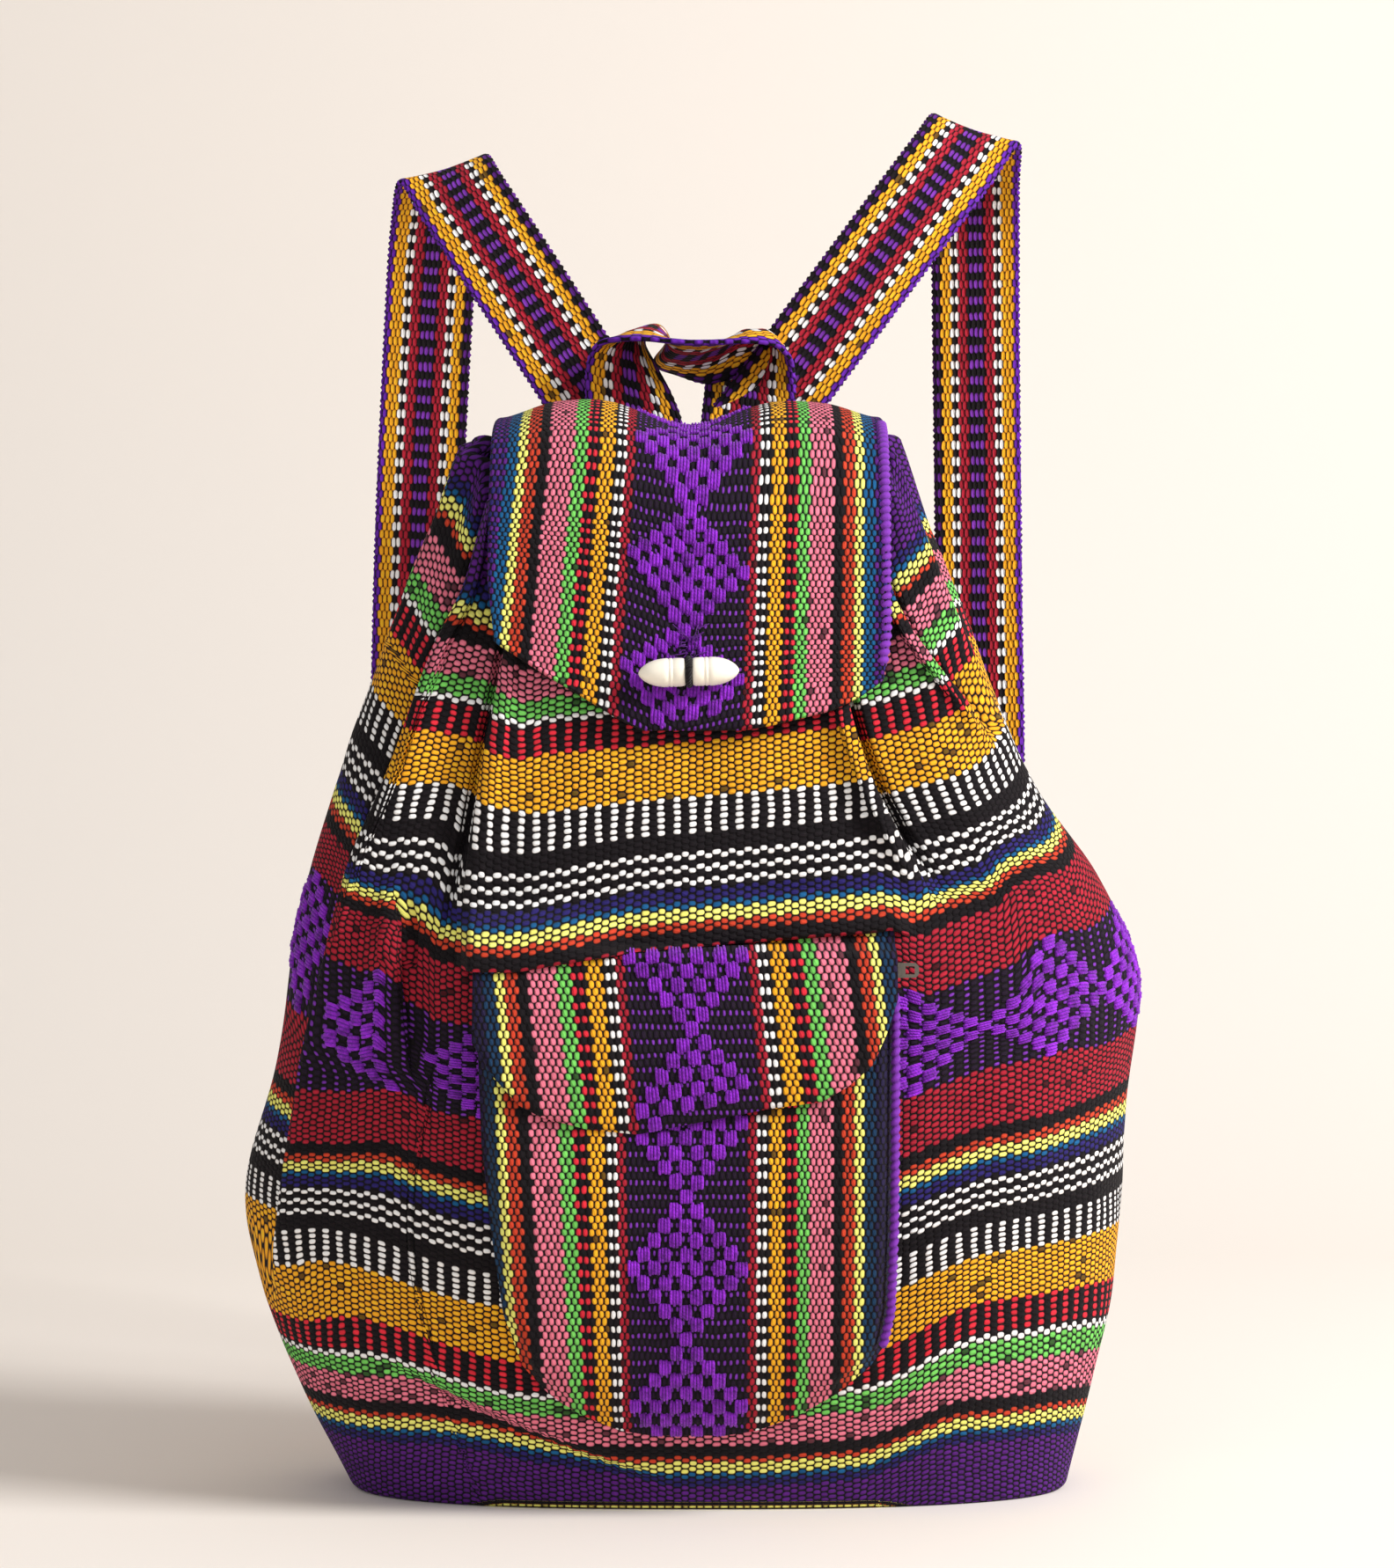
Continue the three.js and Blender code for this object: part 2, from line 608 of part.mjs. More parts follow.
// Flat band lying in the turned hem, following its gathers.
function drawstring() {
  const hemBottom = MOUTH_FRONT_HEIGHT - HEM_DEPTH;
  const casingTop = MOUTH_FRONT_HEIGHT - SACK_CLOTH;
  const room = casingTop - hemBottom;
  const ring = (inset, share) => {
    const above = sackRing(casingTop, inset);
    return sackRing(hemBottom, inset).map((point, step) => point.lerp(above[step], share));
  };
  const near = SACK_CLOTH + CASING_GAP;
  const far = SACK_CLOTH + CASING_ROOM - CASING_GAP;
  const low = 0.5 - DRAWSTRING_WIDTH / 2 / room;
  const high = 0.5 + DRAWSTRING_WIDTH / 2 / room;
  return loft([ring(near, high), ring(near, low), ring(far, low), ring(far, high)], true);
}

function mainFlap() {
  const length = FLAP_LINE.getLength();
  const rows = (out) => {
    const list = [];
    for (let r = 0; r <= FLAP_ROWS; r += 1) {
      const share = (r / FLAP_ROWS) ** 1.15;
      const left = FLAP_HALF_WIDTH * straight(FLAP_LEFT_EDGE, share * length);
      const right = FLAP_HALF_WIDTH * straight(FLAP_RIGHT_EDGE, share * length);
      const row = [];
      for (let c = 0; c <= PATCH_COLUMNS; c += 1) {
        row.push(flapPoint(share, mix(-left, right, c / PATCH_COLUMNS), out));
      }
      list.push(row);
    }
    return list;
  };
  const halfSlot = BUTTONHOLE_WIDTH / 2;
  const slot = box(-halfSlot, halfSlot, -10, 20, -BUTTONHOLE_BELOW, BUTTONHOLE_ABOVE);
  return cutOut(sheet(rows(PATCH_CLOTH), rows(0)), [ontoFlap(slot)]);
}

// Two bullet-shaped ends with a waist for the cord and two turned rings at each side of it.
function toggle() {
  const halfWaist = TOGGLE_WAIST_LENGTH / 2;
  const end = TOGGLE_LENGTH / 2;
  const ring = TOGGLE_RADIUS - TOGGLE_RING_DEPTH;
  const shoulder = [
    [TOGGLE_WAIST_RADIUS, halfWaist],
    [TOGGLE_RADIUS * TOGGLE_SHOULDER, halfWaist],
  ];
  const grooves = TOGGLE_GROOVES.flatMap((share) => [
    [TOGGLE_RADIUS, share * end - TOGGLE_RING_DEPTH],
    [ring, share * end],
    [TOGGLE_RADIUS, share * end + TOGGLE_RING_DEPTH],
  ]);
  const tip = TOGGLE_TIP.map(([radius, along]) => [radius * TOGGLE_RADIUS, along * end]);
  const half = [...shoulder, ...grooves, ...tip];
  const points = half.map(([radius, along]) => new THREE.Vector2(radius, along));
  const mirrored = half.map(([radius, along]) => new THREE.Vector2(radius, -along)).reverse();
  const geometry = new THREE.LatheGeometry([...mirrored, ...points], 18);
  return ontoFlap(geometry.rotateZ(-Math.PI / 2));
}

// Cord round the toggle's waist, its shank through flap and sack, and the knot inside.
function toggleCord() {
  const ringRadius = TOGGLE_WAIST_RADIUS + MOVING_GAP + CORD_RADIUS;
  const knotCentre = sackInnerDistance() + CORD_KNOT_RADIUS;
  const ring = new THREE.TorusGeometry(ringRadius, CORD_RADIUS, 8, 16).rotateY(Math.PI / 2);
  const shankLength = knotCentre - ringRadius;
  const shank = new THREE.CylinderGeometry(CORD_RADIUS, CORD_RADIUS, shankLength, 12);
  shank.translate(0, ringRadius + shankLength / 2, 0);
  const knot = new THREE.SphereGeometry(CORD_KNOT_RADIUS, 10, 8).translate(0, knotCentre, 0);
  return ontoFlap(joinAll([ring, shank, knot]));
}

const zipDepth = frontFace(0, ZIP_HEIGHT) - ZIP_STANDOFF;
const panelTop = ZIP_HEIGHT - PANEL_TOP_BELOW_ZIP;

// Inner face of the pocket along its middle, puffed out from the sack.
function pocketCrest(z) {
  const fullAt = mix(POCKET_BOTTOM, panelTop, 0.55);
  const puffed = (height, share) => [height, frontFace(0, height) - POCKET_FULLNESS * share];
  return profile([
    puffed(POCKET_BOTTOM, 0.35),
    puffed(mix(POCKET_BOTTOM, panelTop, 0.2), 0.8),
    puffed(fullAt, 1),
    puffed(mix(fullAt, panelTop, 0.55), 0.85),
    [panelTop, zipDepth - TAPE_THICKNESS / 2 - SEWN_GAP],
  ], z);
}

// Half width of the pocket on one side at a height, and the height of its edge at a distance out.
function pocketHalfWidth(z, side) {
  const edge = side < 0 ? POCKET_LEFT_EDGE : POCKET_RIGHT_EDGE;
  return POCKET_TOP_HALF_WIDTH * straight(edge, (z - POCKET_BOTTOM) / (panelTop - POCKET_BOTTOM));
}

function pocketEdgeHeight(x) {
  const edge = (x < 0 ? POCKET_LEFT_EDGE : POCKET_RIGHT_EDGE).map(([height, half]) => [half, height]);
  return mix(POCKET_BOTTOM, panelTop, straight(edge, Math.abs(x) / POCKET_TOP_HALF_WIDTH));
}

function pocketInner(x, z) {
  const fromSide = smooth((pocketHalfWidth(z, x) - Math.abs(x)) / POCKET_SIDE_RUN);
  const fromBottom = smooth((z - pocketEdgeHeight(x)) / POCKET_SIDE_RUN);
  return mix(frontFace(x, z) - SEWN_GAP, pocketCrest(z), Math.min(fromSide, fromBottom));
}

// Distances across a patch, closer together at its sides.
function acrossPatch(left, right) {
  const edges = [1, 0.5, 0.2, 0].map((share) => POCKET_SIDE_RUN * share);
  const middle = [];
  const spans = PATCH_COLUMNS - 4;
  for (let c = 1; c < spans; c += 1) {
    middle.push(mix(POCKET_SIDE_RUN - left, right - POCKET_SIDE_RUN, c / spans));
  }
  return [...edges.map((x) => x - left).reverse(), ...middle, ...edges.map((x) => right - x)];
}

// Patch of cloth through rows of places across and up, lying on an inner face.
function patch(rows, innerFace) {
  const layer = (out) => rows.map((row) => {
    return row.map(([x, z]) => new THREE.Vector3(x, innerFace(x, z) - out, z));
  });
  return sheet(layer(PATCH_CLOTH), layer(0));
}

function pocketPanel() {
  const heights = [0, 0.2, 0.5, 1].map((share) => POCKET_BOTTOM + POCKET_SIDE_RUN * share);
  for (let r = 1; r <= POCKET_ROWS; r += 1) {
    heights.push(mix(POCKET_BOTTOM + POCKET_SIDE_RUN, panelTop, r / POCKET_ROWS));
  }
  const rows = heights.map((z) => {
    return acrossPatch(pocketHalfWidth(z, -1), pocketHalfWidth(z, 1)).map((x) => [x, z]);
  });
  return patch(rows, pocketInner);
}

const overZip = ZIP_HEIGHT + SLIDER_SHOULDER_HALF_HEIGHT + MOVING_GAP;
const flapSeamBottom = ZIP_HEIGHT + POCKET_FLAP_SEAM_ABOVE_ZIP;
const flapSeamTop = flapSeamBottom + POCKET_FLAP_SEAM;

function pocketFlapInner(x, z) {
  const seat = frontFace(x, z) - SEWN_GAP;
  const resting = pocketCrest(POCKET_FLAP_BOTTOM) - PATCH_CLOTH - SEWN_GAP;
  const stations = [
    [POCKET_FLAP_BOTTOM, resting],
    [mix(POCKET_FLAP_BOTTOM, overZip, 0.45), Math.min(resting, zipDepth - ZIP_COVER) - 1],
    [overZip, zipDepth - ZIP_COVER],
  ];
  if (z <= overZip) return profile(stations, z);
  return mix(zipDepth - ZIP_COVER, seat, smooth((z - overZip) / (flapSeamBottom - overZip)));
}

function pocketFlap() {
  const levels = [];
  for (let r = 0; r <= 8; r += 1) levels.push(mix(POCKET_FLAP_BOTTOM, overZip, r / 8));
  for (let r = 1; r <= 4; r += 1) levels.push(mix(overZip, flapSeamBottom, r / 4));
  levels.push(flapSeamTop);
  const columns = acrossPatch(POCKET_FLAP_HALF_WIDTH, POCKET_FLAP_HALF_WIDTH);
  const rows = levels.map((level) => columns.map((x) => {
    const edge = POCKET_FLAP_BOTTOM + straight(POCKET_FLAP_EDGE, x / POCKET_FLAP_HALF_WIDTH);
    const below = Math.max(0, panelTop - level) / (panelTop - POCKET_FLAP_BOTTOM);
    return [x, mix(Math.max(level, panelTop), edge, below)];
  }));
  return patch(rows, pocketFlapInner);
}

// Upper tape: straight along the teeth, its other edge sewn flat to the sack.
function zipTapeUpper() {
  const low = ZIP_HEIGHT + tapeEdge;
  const high = flapSeamBottom - SEWN_GAP;
  const straight = zipDepth - TAPE_THICKNESS / 2;
  const heights = [low, overZip, mix(overZip, high, 0.35), mix(overZip, high, 0.7), high];
  const rows = (layer) => heights.map((z) => {
    const row = [];
    for (let c = 0; c <= PATCH_COLUMNS; c += 1) {
      const x = mix(ZIP_LEFT, ZIP_RIGHT, c / PATCH_COLUMNS);
      const seat = frontFace(x, z) - SEWN_GAP - TAPE_THICKNESS;
      const depth = mix(straight, seat, smooth((z - overZip) / (high - overZip)));
      row.push(new THREE.Vector3(x, depth + layer, z));
    }
    return row;
  });
  return sheet(rows(0), rows(TAPE_THICKNESS));
}

function zipTapeLower() {
  const high = ZIP_HEIGHT - tapeEdge;
  const half = TAPE_THICKNESS / 2;
  return box(ZIP_LEFT, ZIP_RIGHT, zipDepth - half, zipDepth + half, high - TAPE_WIDTH, high);
}

const stopRight = SLIDER_X + SLIDER_LENGTH / 2 + MOVING_GAP;
const stopLeft = ZIP_LEFT + 1;

// Row of interlocking teeth on a narrow root; the two rows mesh half a pitch apart.
function zipTeeth(side) {
  const from = stopLeft + STOP_LENGTH + MOVING_GAP;
  const to = SLIDER_X + SLIDER_NECK_FROM - MOVING_GAP;
  const phase = side > 0 ? 0.5 : 0.5 + TEETH_PITCH / 2;
  const corners = [[from, TEETH_OUTER], [from, TEETH_ROOT]];
  for (let x = from + phase; x + TEETH_WIDTH < to; x += TEETH_PITCH) {
    const end = x + TEETH_WIDTH;
    corners.push([x, TEETH_ROOT], [x, -TEETH_REACH], [end, -TEETH_REACH], [end, TEETH_ROOT]);
  }
  corners.push([to, TEETH_ROOT], [to, TEETH_OUTER]);
  const shape = outlineShape(corners.map(([x, z]) => [x, side * z]));
  const half = TEETH_THICKNESS / 2;
  return plate(shape, zipDepth - half, zipDepth + half).translate(0, 0, ZIP_HEIGHT);
}

// Metal clip over the edge of a tape, open towards the tape.
function tapeClip(from, z0, z1, slots) {
  const depth = STOP_HALF_THICKNESS;
  const to = from + STOP_LENGTH;
  const body = box(from, to, zipDepth - depth, zipDepth + depth, ZIP_HEIGHT + z0, ZIP_HEIGHT + z1);
  const room = TAPE_THICKNESS / 2 + MOVING_GAP;
  const beyond = STOP_HALF_HEIGHT + 1;
  const cuts = slots.map((side) => {
    const low = ZIP_HEIGHT + (side > 0 ? TEETH_OUTER : -beyond);
    const high = ZIP_HEIGHT + (side > 0 ? beyond : -TEETH_OUTER);
    return box(from - 1, to + 1, zipDepth - room, zipDepth + room, low, high);
  });
  return cutOut(body, cuts);
}

function zipStopUpper() {
  return tapeClip(stopRight, TEETH_ROOT, STOP_HALF_HEIGHT, [1]);
}

function zipStopLower() {
  return tapeClip(stopRight, -STOP_HALF_HEIGHT, -TEETH_ROOT, [-1]);
}

function zipStopEnd() {
  return tapeClip(stopLeft, -STOP_HALF_HEIGHT, STOP_HALF_HEIGHT, [1, -1]);
}

function ontoZip(geometry) {
  return geometry.translate(SLIDER_X, zipDepth, ZIP_HEIGHT);
}

// Slider: two plates on a neck, flanges round the teeth and a bridge for the pull.
function zipSlider() {
  const half = SLIDER_LENGTH / 2;
  const tail = SLIDER_TAIL_HALF_HEIGHT;
  const shoulder = SLIDER_SHOULDER_HALF_HEIGHT;
  const outline = outlineShape([
    [-half, -tail + 1], [1 - half, -tail], [0, -tail],
    [half - 2.5, -shoulder], [half - 1, -shoulder], [half, 1 - shoulder],
    [half, shoulder - 1], [half - 1, shoulder], [half - 2.5, shoulder],
    [0, tail], [1 - half, tail], [-half, tail - 1],
  ]);
  const outer = zipChannel + SLIDER_PLATE;
  const slot = TAPE_THICKNESS / 2 + MOVING_GAP;
  const pieces = [plate(outline, -outer, -zipChannel), plate(outline, zipChannel, outer)];
  [-1, 1].forEach((side) => {
    const edges = [side * tapeEdge, side * tail].sort((a, b) => a - b);
    pieces.push(box(1 - half, half - 1, -zipChannel - 0.1, -slot, edges[0], edges[1]));
    pieces.push(box(1 - half, half - 1, slot, zipChannel + 0.1, edges[0], edges[1]));
  });
  const neck = SLIDER_NECK_HALF_HEIGHT;
  pieces.push(box(SLIDER_NECK_FROM, SLIDER_NECK_TO, -zipChannel - 0.1, zipChannel + 0.1, -neck, neck));
  const underBridge = MOVING_GAP + PULL_THICKNESS + MOVING_GAP;
  const bridgeHalf = BRIDGE_HALF_SPAN + BRIDGE_THICKNESS;
  const top = -outer - underBridge - BRIDGE_THICKNESS;
  const width = BRIDGE_WIDTH / 2;
  const x = PULL_PIVOT_X;
  pieces.push(box(x - bridgeHalf, x + bridgeHalf, top, -outer - underBridge, -width, width));
  pieces.push(box(x - bridgeHalf, x - BRIDGE_HALF_SPAN, top + 0.1, -outer + 0.1, -width, width));
  pieces.push(box(x + BRIDGE_HALF_SPAN, x + bridgeHalf, top + 0.1, -outer + 0.1, -width, width));
  return ontoZip(joinAll(pieces));
}

// Flat tapering tab: a bar under the bridge at one end, a window at the other.
function zipPull() {
  const x = PULL_PIVOT_X;
  const root = PULL_ROOT_HALF_HEIGHT;
  const tip = PULL_TIP_HALF_HEIGHT;
  const end = x + PULL_LENGTH;
  const start = x - PULL_BAR / 2;
  const shape = outlineShape([
    [start, 1.2 - root], [start + 1.2, -root], [end - 1.2, -tip], [end, 1.2 - tip],
    [end, tip - 1.2], [end - 1.2, tip], [start + 1.2, root], [start, root - 1.2],
  ]);
  const eyeEnd = x + BRIDGE_HALF_SPAN + BRIDGE_THICKNESS + 1.5 * MOVING_GAP;
  const eyeHalf = BRIDGE_WIDTH / 2 + MOVING_GAP;
  const windowTo = end - PULL_WINDOW_FROM_TIP;
  const windowFrom = windowTo - PULL_WINDOW_LENGTH;
  const windowHalf = PULL_WINDOW_HALF_HEIGHT;
  const opening = (x0, x1, half) => outlineShape([[x0, -half], [x0, half], [x1, half], [x1, -half]]);
  shape.holes.push(opening(x + PULL_BAR / 2, eyeEnd, eyeHalf));
  shape.holes.push(opening(windowFrom, windowTo, windowHalf));
  const back = -zipChannel - SLIDER_PLATE - MOVING_GAP;
  return ontoZip(plate(shape, back - PULL_THICKNESS, back));
}

const loopDepth = flapBackDepth + PATCH_CLOTH + SEWN_GAP + BAND_THICKNESS / 2;
const bandLayer = BAND_THICKNESS + SEWN_GAP;

const strapSeamHeight = flapSeamHeight + STRAP_SEAM_ABOVE_FLAP_SEAM;

// Strap from the back seam up and over the shoulder, down behind to the base corner.
function shoulderStrap(side, seamX, topX, topRise, layer) {
  const seamDepth = loopDepth + layer * bandLayer;
  const topHeight = strapSeamHeight + topRise;
  const rise = new THREE.Vector2(topX - seamX, topRise).normalize();
  const footX = side * STRAP_FOOT_X;
  const footEnds = [footX + 5, footX - 5].map((x) => backFace(x, STRAP_FOOT_HEIGHT));
  const footSlope = (footEnds[0] - footEnds[1]) / 10;
  const footDepth = (z) => {
    const reach = [-1, -0.5, 0, 0.5, 1].map((share) => {
      const across = (share * BAND_WIDTH) / 2;
      return backFace(footX + across, z) - footSlope * across;
    });
    return Math.max(...reach) + SEWN_GAP + BAND_THICKNESS / 2;
  };
  const onRise = (share, back) => {
    const z = mix(strapSeamHeight, topHeight, share);
    return new THREE.Vector3(mix(seamX, topX, share), seamDepth + back, z);
  };
  const hanging = (share, x, back) => {
    return new THREE.Vector3(x, seamDepth + back, mix(STRAP_FOOT_HEIGHT, topHeight, share));
  };
  const onFoot = (z, away) => new THREE.Vector3(footX, footDepth(z) + away, z);
  const outX = mix(topX, side * (STRAP_FOOT_X + STRAP_SWAY), 0.6);
  const points = [
    onRise(0, 0),
    onRise(0.3, 2),
    onRise(0.65, 8),
    onRise(0.9, 20),
    onRise(1, STRAP_ARCH_DEPTH),
    hanging(0.965, mix(topX, outX, 0.35), STRAP_ARCH_DEPTH + STRAP_ARCH_RUN),
    hanging(0.85, mix(topX, outX, 0.7), ARM_ROOM - 6),
    hanging(0.65, outX, ARM_ROOM),
    hanging(0.45, outX, ARM_ROOM - 8),
    hanging(0.26, mix(outX, footX, 0.3), ARM_ROOM * 0.55),
    hanging(0.12, mix(outX, footX, 0.75), ARM_ROOM * 0.2),
    onFoot(STRAP_FOOT_HEIGHT + STRAP_FOOT_LENGTH, STRAP_FOOT_PEEL),
    onFoot(STRAP_FOOT_HEIGHT + STRAP_FOOT_LENGTH / 2, STRAP_FOOT_PEEL / 8),
    onFoot(STRAP_FOOT_HEIGHT, 0),
  ];
  const onRiseWidth = new THREE.Vector3(rise.y, 0, -rise.x);
  const level = new THREE.Vector3(1, 0, 0);
  const foot = new THREE.Vector3(1, footSlope, 0);
  const widths = points.map((_, k) => {
    if (k < 4) return onRiseWidth;
    if (k < 6) return onRiseWidth.clone().lerp(level, 0.5);
    return level.clone().lerp(foot, smooth((k - 7) / 3));
  });
  return band(points, widths, STRAP_STEPS);
}

function strapLeft() {
  return shoulderStrap(-1, LEFT_STRAP_SEAM_X, LEFT_STRAP_TOP_X, LEFT_STRAP_RISE, 1);
}

function strapRight() {
  return shoulderStrap(1, RIGHT_STRAP_SEAM_X, RIGHT_STRAP_TOP_X, RIGHT_STRAP_RISE, 2);
}

// Loop of the same band: two upright legs, its front edge level between them and its back edge humped.
function hangLoop() {
  const seamHeight = flapSeamHeight + LOOP_SEAM_ABOVE_FLAP_SEAM;
  const edge = (stations) => new THREE.CatmullRomCurve3(
    stations.map(([x, back, up]) => new THREE.Vector3(x, loopDepth + back, seamHeight + up)),
  );
  const front = edge(LOOP_FRONT_EDGE);
  const back = edge(LOOP_BACK_EDGE);
  const point = (share, across) => front.getPoint(share).lerp(back.getPoint(share), across);
  const near = 0.5 / LOOP_STEPS;
  const layer = (side) => {
    const rows = [];
    for (let r = 0; r <= LOOP_STEPS; r += 1) {
      const share = r / LOOP_STEPS;
      const over = back.getPoint(share).sub(front.getPoint(share));
      const row = [];
      for (let c = 0; c <= LOOP_COLUMNS; c += 1) {
        const across = c / LOOP_COLUMNS;
        const ahead = point(Math.min(1, share + near), across).sub(point(Math.max(0, share - near), across));
        const normal = over.clone().cross(ahead).normalize();
        row.push(point(share, across).addScaledVector(normal, (side * BAND_THICKNESS) / 2));
      }
      rows.push(row);
    }
    return rows;
  };
  return sheet(layer(1), layer(-1));
}

function material(colour, roughness, metalness) {
  return new THREE.MeshStandardMaterial({ color: colour, roughness, metalness });
}

const sackWeave = () => material(0x7a2638, 0.9, 0);
const flapWeave = () => material(0x5b1c6e, 0.9, 0);
const bandWeave = () => material(0x8a2a3c, 0.9, 0);
const darkCord = () => material(0x1c1618, 0.85, 0);
const zipTape = () => material(0x33184a, 0.9, 0);
const horn = () => material(0xeadfc8, 0.35, 0);
const zipMetal = () => material(0x6d6a68, 0.4, 0.9);

const group = new THREE.Group();

function add(name, geometry, finish) {
  const mesh = new THREE.Mesh(geometry, finish);
  mesh.name = name;
  group.add(mesh);
}

add("sack", sack(), sackWeave());
add("drawstring", drawstring(), bandWeave());
add("main_flap", mainFlap(), flapWeave());
add("toggle", toggle(), horn());
add("toggle_cord", toggleCord(), darkCord());
add("pocket_panel", pocketPanel(), flapWeave());
add("pocket_flap", pocketFlap(), flapWeave());
add("zip_tape_upper", zipTapeUpper(), zipTape());
add("zip_tape_lower", zipTapeLower(), zipTape());
add("zip_teeth_upper", zipTeeth(1), zipMetal());
add("zip_teeth_lower", zipTeeth(-1), zipMetal());
add("zip_stop_upper", zipStopUpper(), zipMetal());
add("zip_stop_lower", zipStopLower(), zipMetal());
add("zip_stop_end", zipStopEnd(), zipMetal());
add("zip_slider", zipSlider(), zipMetal());
add("zip_pull", zipPull(), zipMetal());
add("strap_left", strapLeft(), bandWeave());
add("strap_right", strapRight(), bandWeave());
add("hang_loop", hangLoop(), bandWeave());

export default group;
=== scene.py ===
import math
import bpy
import numpy as np
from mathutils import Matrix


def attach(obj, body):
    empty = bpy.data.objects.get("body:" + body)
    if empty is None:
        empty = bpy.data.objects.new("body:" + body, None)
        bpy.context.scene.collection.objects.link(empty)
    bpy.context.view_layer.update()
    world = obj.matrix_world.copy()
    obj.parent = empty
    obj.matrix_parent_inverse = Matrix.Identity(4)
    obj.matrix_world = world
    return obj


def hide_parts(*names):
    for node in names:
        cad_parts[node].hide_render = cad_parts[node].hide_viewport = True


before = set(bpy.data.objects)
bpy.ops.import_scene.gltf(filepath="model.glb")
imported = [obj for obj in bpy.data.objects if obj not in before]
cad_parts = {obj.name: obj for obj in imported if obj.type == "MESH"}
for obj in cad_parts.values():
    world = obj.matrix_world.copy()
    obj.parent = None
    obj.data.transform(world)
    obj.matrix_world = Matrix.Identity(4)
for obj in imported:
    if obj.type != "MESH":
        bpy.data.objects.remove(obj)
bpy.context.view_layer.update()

MM = 0.001

# Sack: half width or depth at each height, in millimetres like all sizes below
LEFT_SIDE = [(0, 132), (60, 161), (112, 175), (165, 162), (225, 153), (300, 131), (411, 88)]
RIGHT_SIDE = [(0, 148), (70, 164), (150, 171), (200, 175), (240, 160), (275, 136), (330, 112), (411, 78)]
FRONT_SIDE = [(0, 58), (50, 78), (120, 88), (215, 80), (300, 58), (377, 36), (411, 28)]
BACK_SIDE = [(0, 56), (100, 66), (300, 60), (425, 52)]
FRONT_POWER = 2.6
BACK_POWER = 3.2
BASE_EDGE = 6
BASE_TURN = 2.5
MOUTH = 377
MOUTH_RISE = 34
MOUTH_BACK = MOUTH + MOUTH_RISE
RISE_SPAN = 250
RISE_FROM = math.radians(28)
RISE_TO = math.radians(100)
HEM_DEPTH = 24
SACK_CLOTH = 2
PATCH_CLOTH = 2.2
SEWN_GAP = 0.4
MOVING_GAP = 0.35
ZIP_HEIGHT = 206
GATHER_COUNT = 14
GATHER_DEPTH = 6
# Folds of the solid sack: edge, depth and the heights where each begins and is full
FRONT_FOLDS = [(-148, 13, 105, 230), (-94, 9, 195, 285), (101, 13, 215, 285), (152, 10, 262, 325)]

# Colours as they look in plain light, in sRGB
COLOURS = {
    "purple": (80, 28, 112),
    "violet": (130, 34, 180),
    "hem": (104, 40, 144),
    "rope": (92, 34, 150),
    "dot": (108, 46, 150),
    "navy": (38, 30, 92),
    "blue": (22, 80, 124),
    "deep_blue": (24, 50, 78),
    "ink": (30, 24, 52),
    "yellow": (240, 228, 112),
    "orange": (182, 58, 36),
    "black": (21, 16, 19),
    "ground": (29, 18, 34),
    "pink": (214, 110, 130),
    "green": (104, 184, 84),
    "red": (200, 40, 54),
    "gold": (238, 160, 34),
    "white": (244, 236, 232),
    "crimson": (154, 30, 46),
    "horn": (251, 243, 226),
    "metal": (112, 106, 98),
    "tape": (50, 26, 78),
    "paper": (240, 232, 224),
}


def colour(name):
    values = [c / 255 for c in COLOURS[name]]
    return (*(c / 12.92 if c <= 0.04045 else ((c + 0.055) / 1.055) ** 2.4 for c in values), 1)


# Shares, profiles and noise


def mix(a, b, share):
    return a + (b - a) * share


def smooth(share):
    s = np.clip(share, 0, 1)
    return s * s * (3 - 2 * s)


def grows(value, start, span):
    """Share that is zero up to a start and one from a span beyond it."""
    return smooth((value - start) / span)


def fades(value, start, span):
    return 1 - grows(value, start, span)


def straight(stations, value):
    """Value of a line through stations, with straight stretches between them."""
    return np.interp(value, *np.array(stations, float).T)


def profile(stations, height):
    """Smooth value of a profile at a height, straight beyond its end stations."""
    knots, values = np.array(stations, float).T
    height = np.asarray(height, float)
    slopes = np.empty(len(knots))
    slopes[1:-1] = (values[2:] - values[:-2]) / (knots[2:] - knots[:-2])
    slopes[0] = (values[1] - values[0]) / (knots[1] - knots[0])
    slopes[-1] = (values[-1] - values[-2]) / (knots[-1] - knots[-2])
    k = np.clip(np.searchsorted(knots, height) - 1, 0, len(knots) - 2)
    span = knots[k + 1] - knots[k]
    t = np.clip((height - knots[k]) / span, 0, 1)
    inside = mix(values[k], values[k + 1], smooth(t))
    inside += t * (1 - t) ** 2 * span * slopes[k] + t * t * (t - 1) * span * slopes[k + 1]
    below = np.minimum(height - knots[0], 0) * slopes[0]
    above = np.maximum(height - knots[-1], 0) * slopes[-1]
    return inside + below + above


def lattice_noise(x, y, seed):
    """Smooth value noise between -1 and 1 with one value per unit square."""
    table = np.random.RandomState(seed).uniform(-1, 1, (64, 64))
    x0, y0 = np.floor(x).astype(int), np.floor(y).astype(int)
    tx, ty = smooth(x - x0), smooth(y - y0)
    low, high = (mix(table[x0 % 64, y % 64], table[(x0 + 1) % 64, y % 64], tx) for y in (y0, y0 + 1))
    return mix(low, high, ty)


def waves(x, y, *layers):
    """Small waves of cloth; each layer is a height, a length along x and y, a shift and a seed."""
    total = 0
    for high, wide, tall, shift, seed in layers:
        total = total + high * lattice_noise(x / wide + shift, y / tall, seed)
    return total


# Form of the sack


def side_half(x, z):
    return np.where(np.asarray(x) < 0, profile(LEFT_SIDE, z), profile(RIGHT_SIDE, z))


def wall_depth(x, z, side, power):
    share = np.minimum(1, np.abs(x) / side_half(x, z))
    return profile(side, z) * (1 - share ** power) ** (1 / power)


def front_face(x, z):
    return -wall_depth(x, z, FRONT_SIDE, FRONT_POWER)


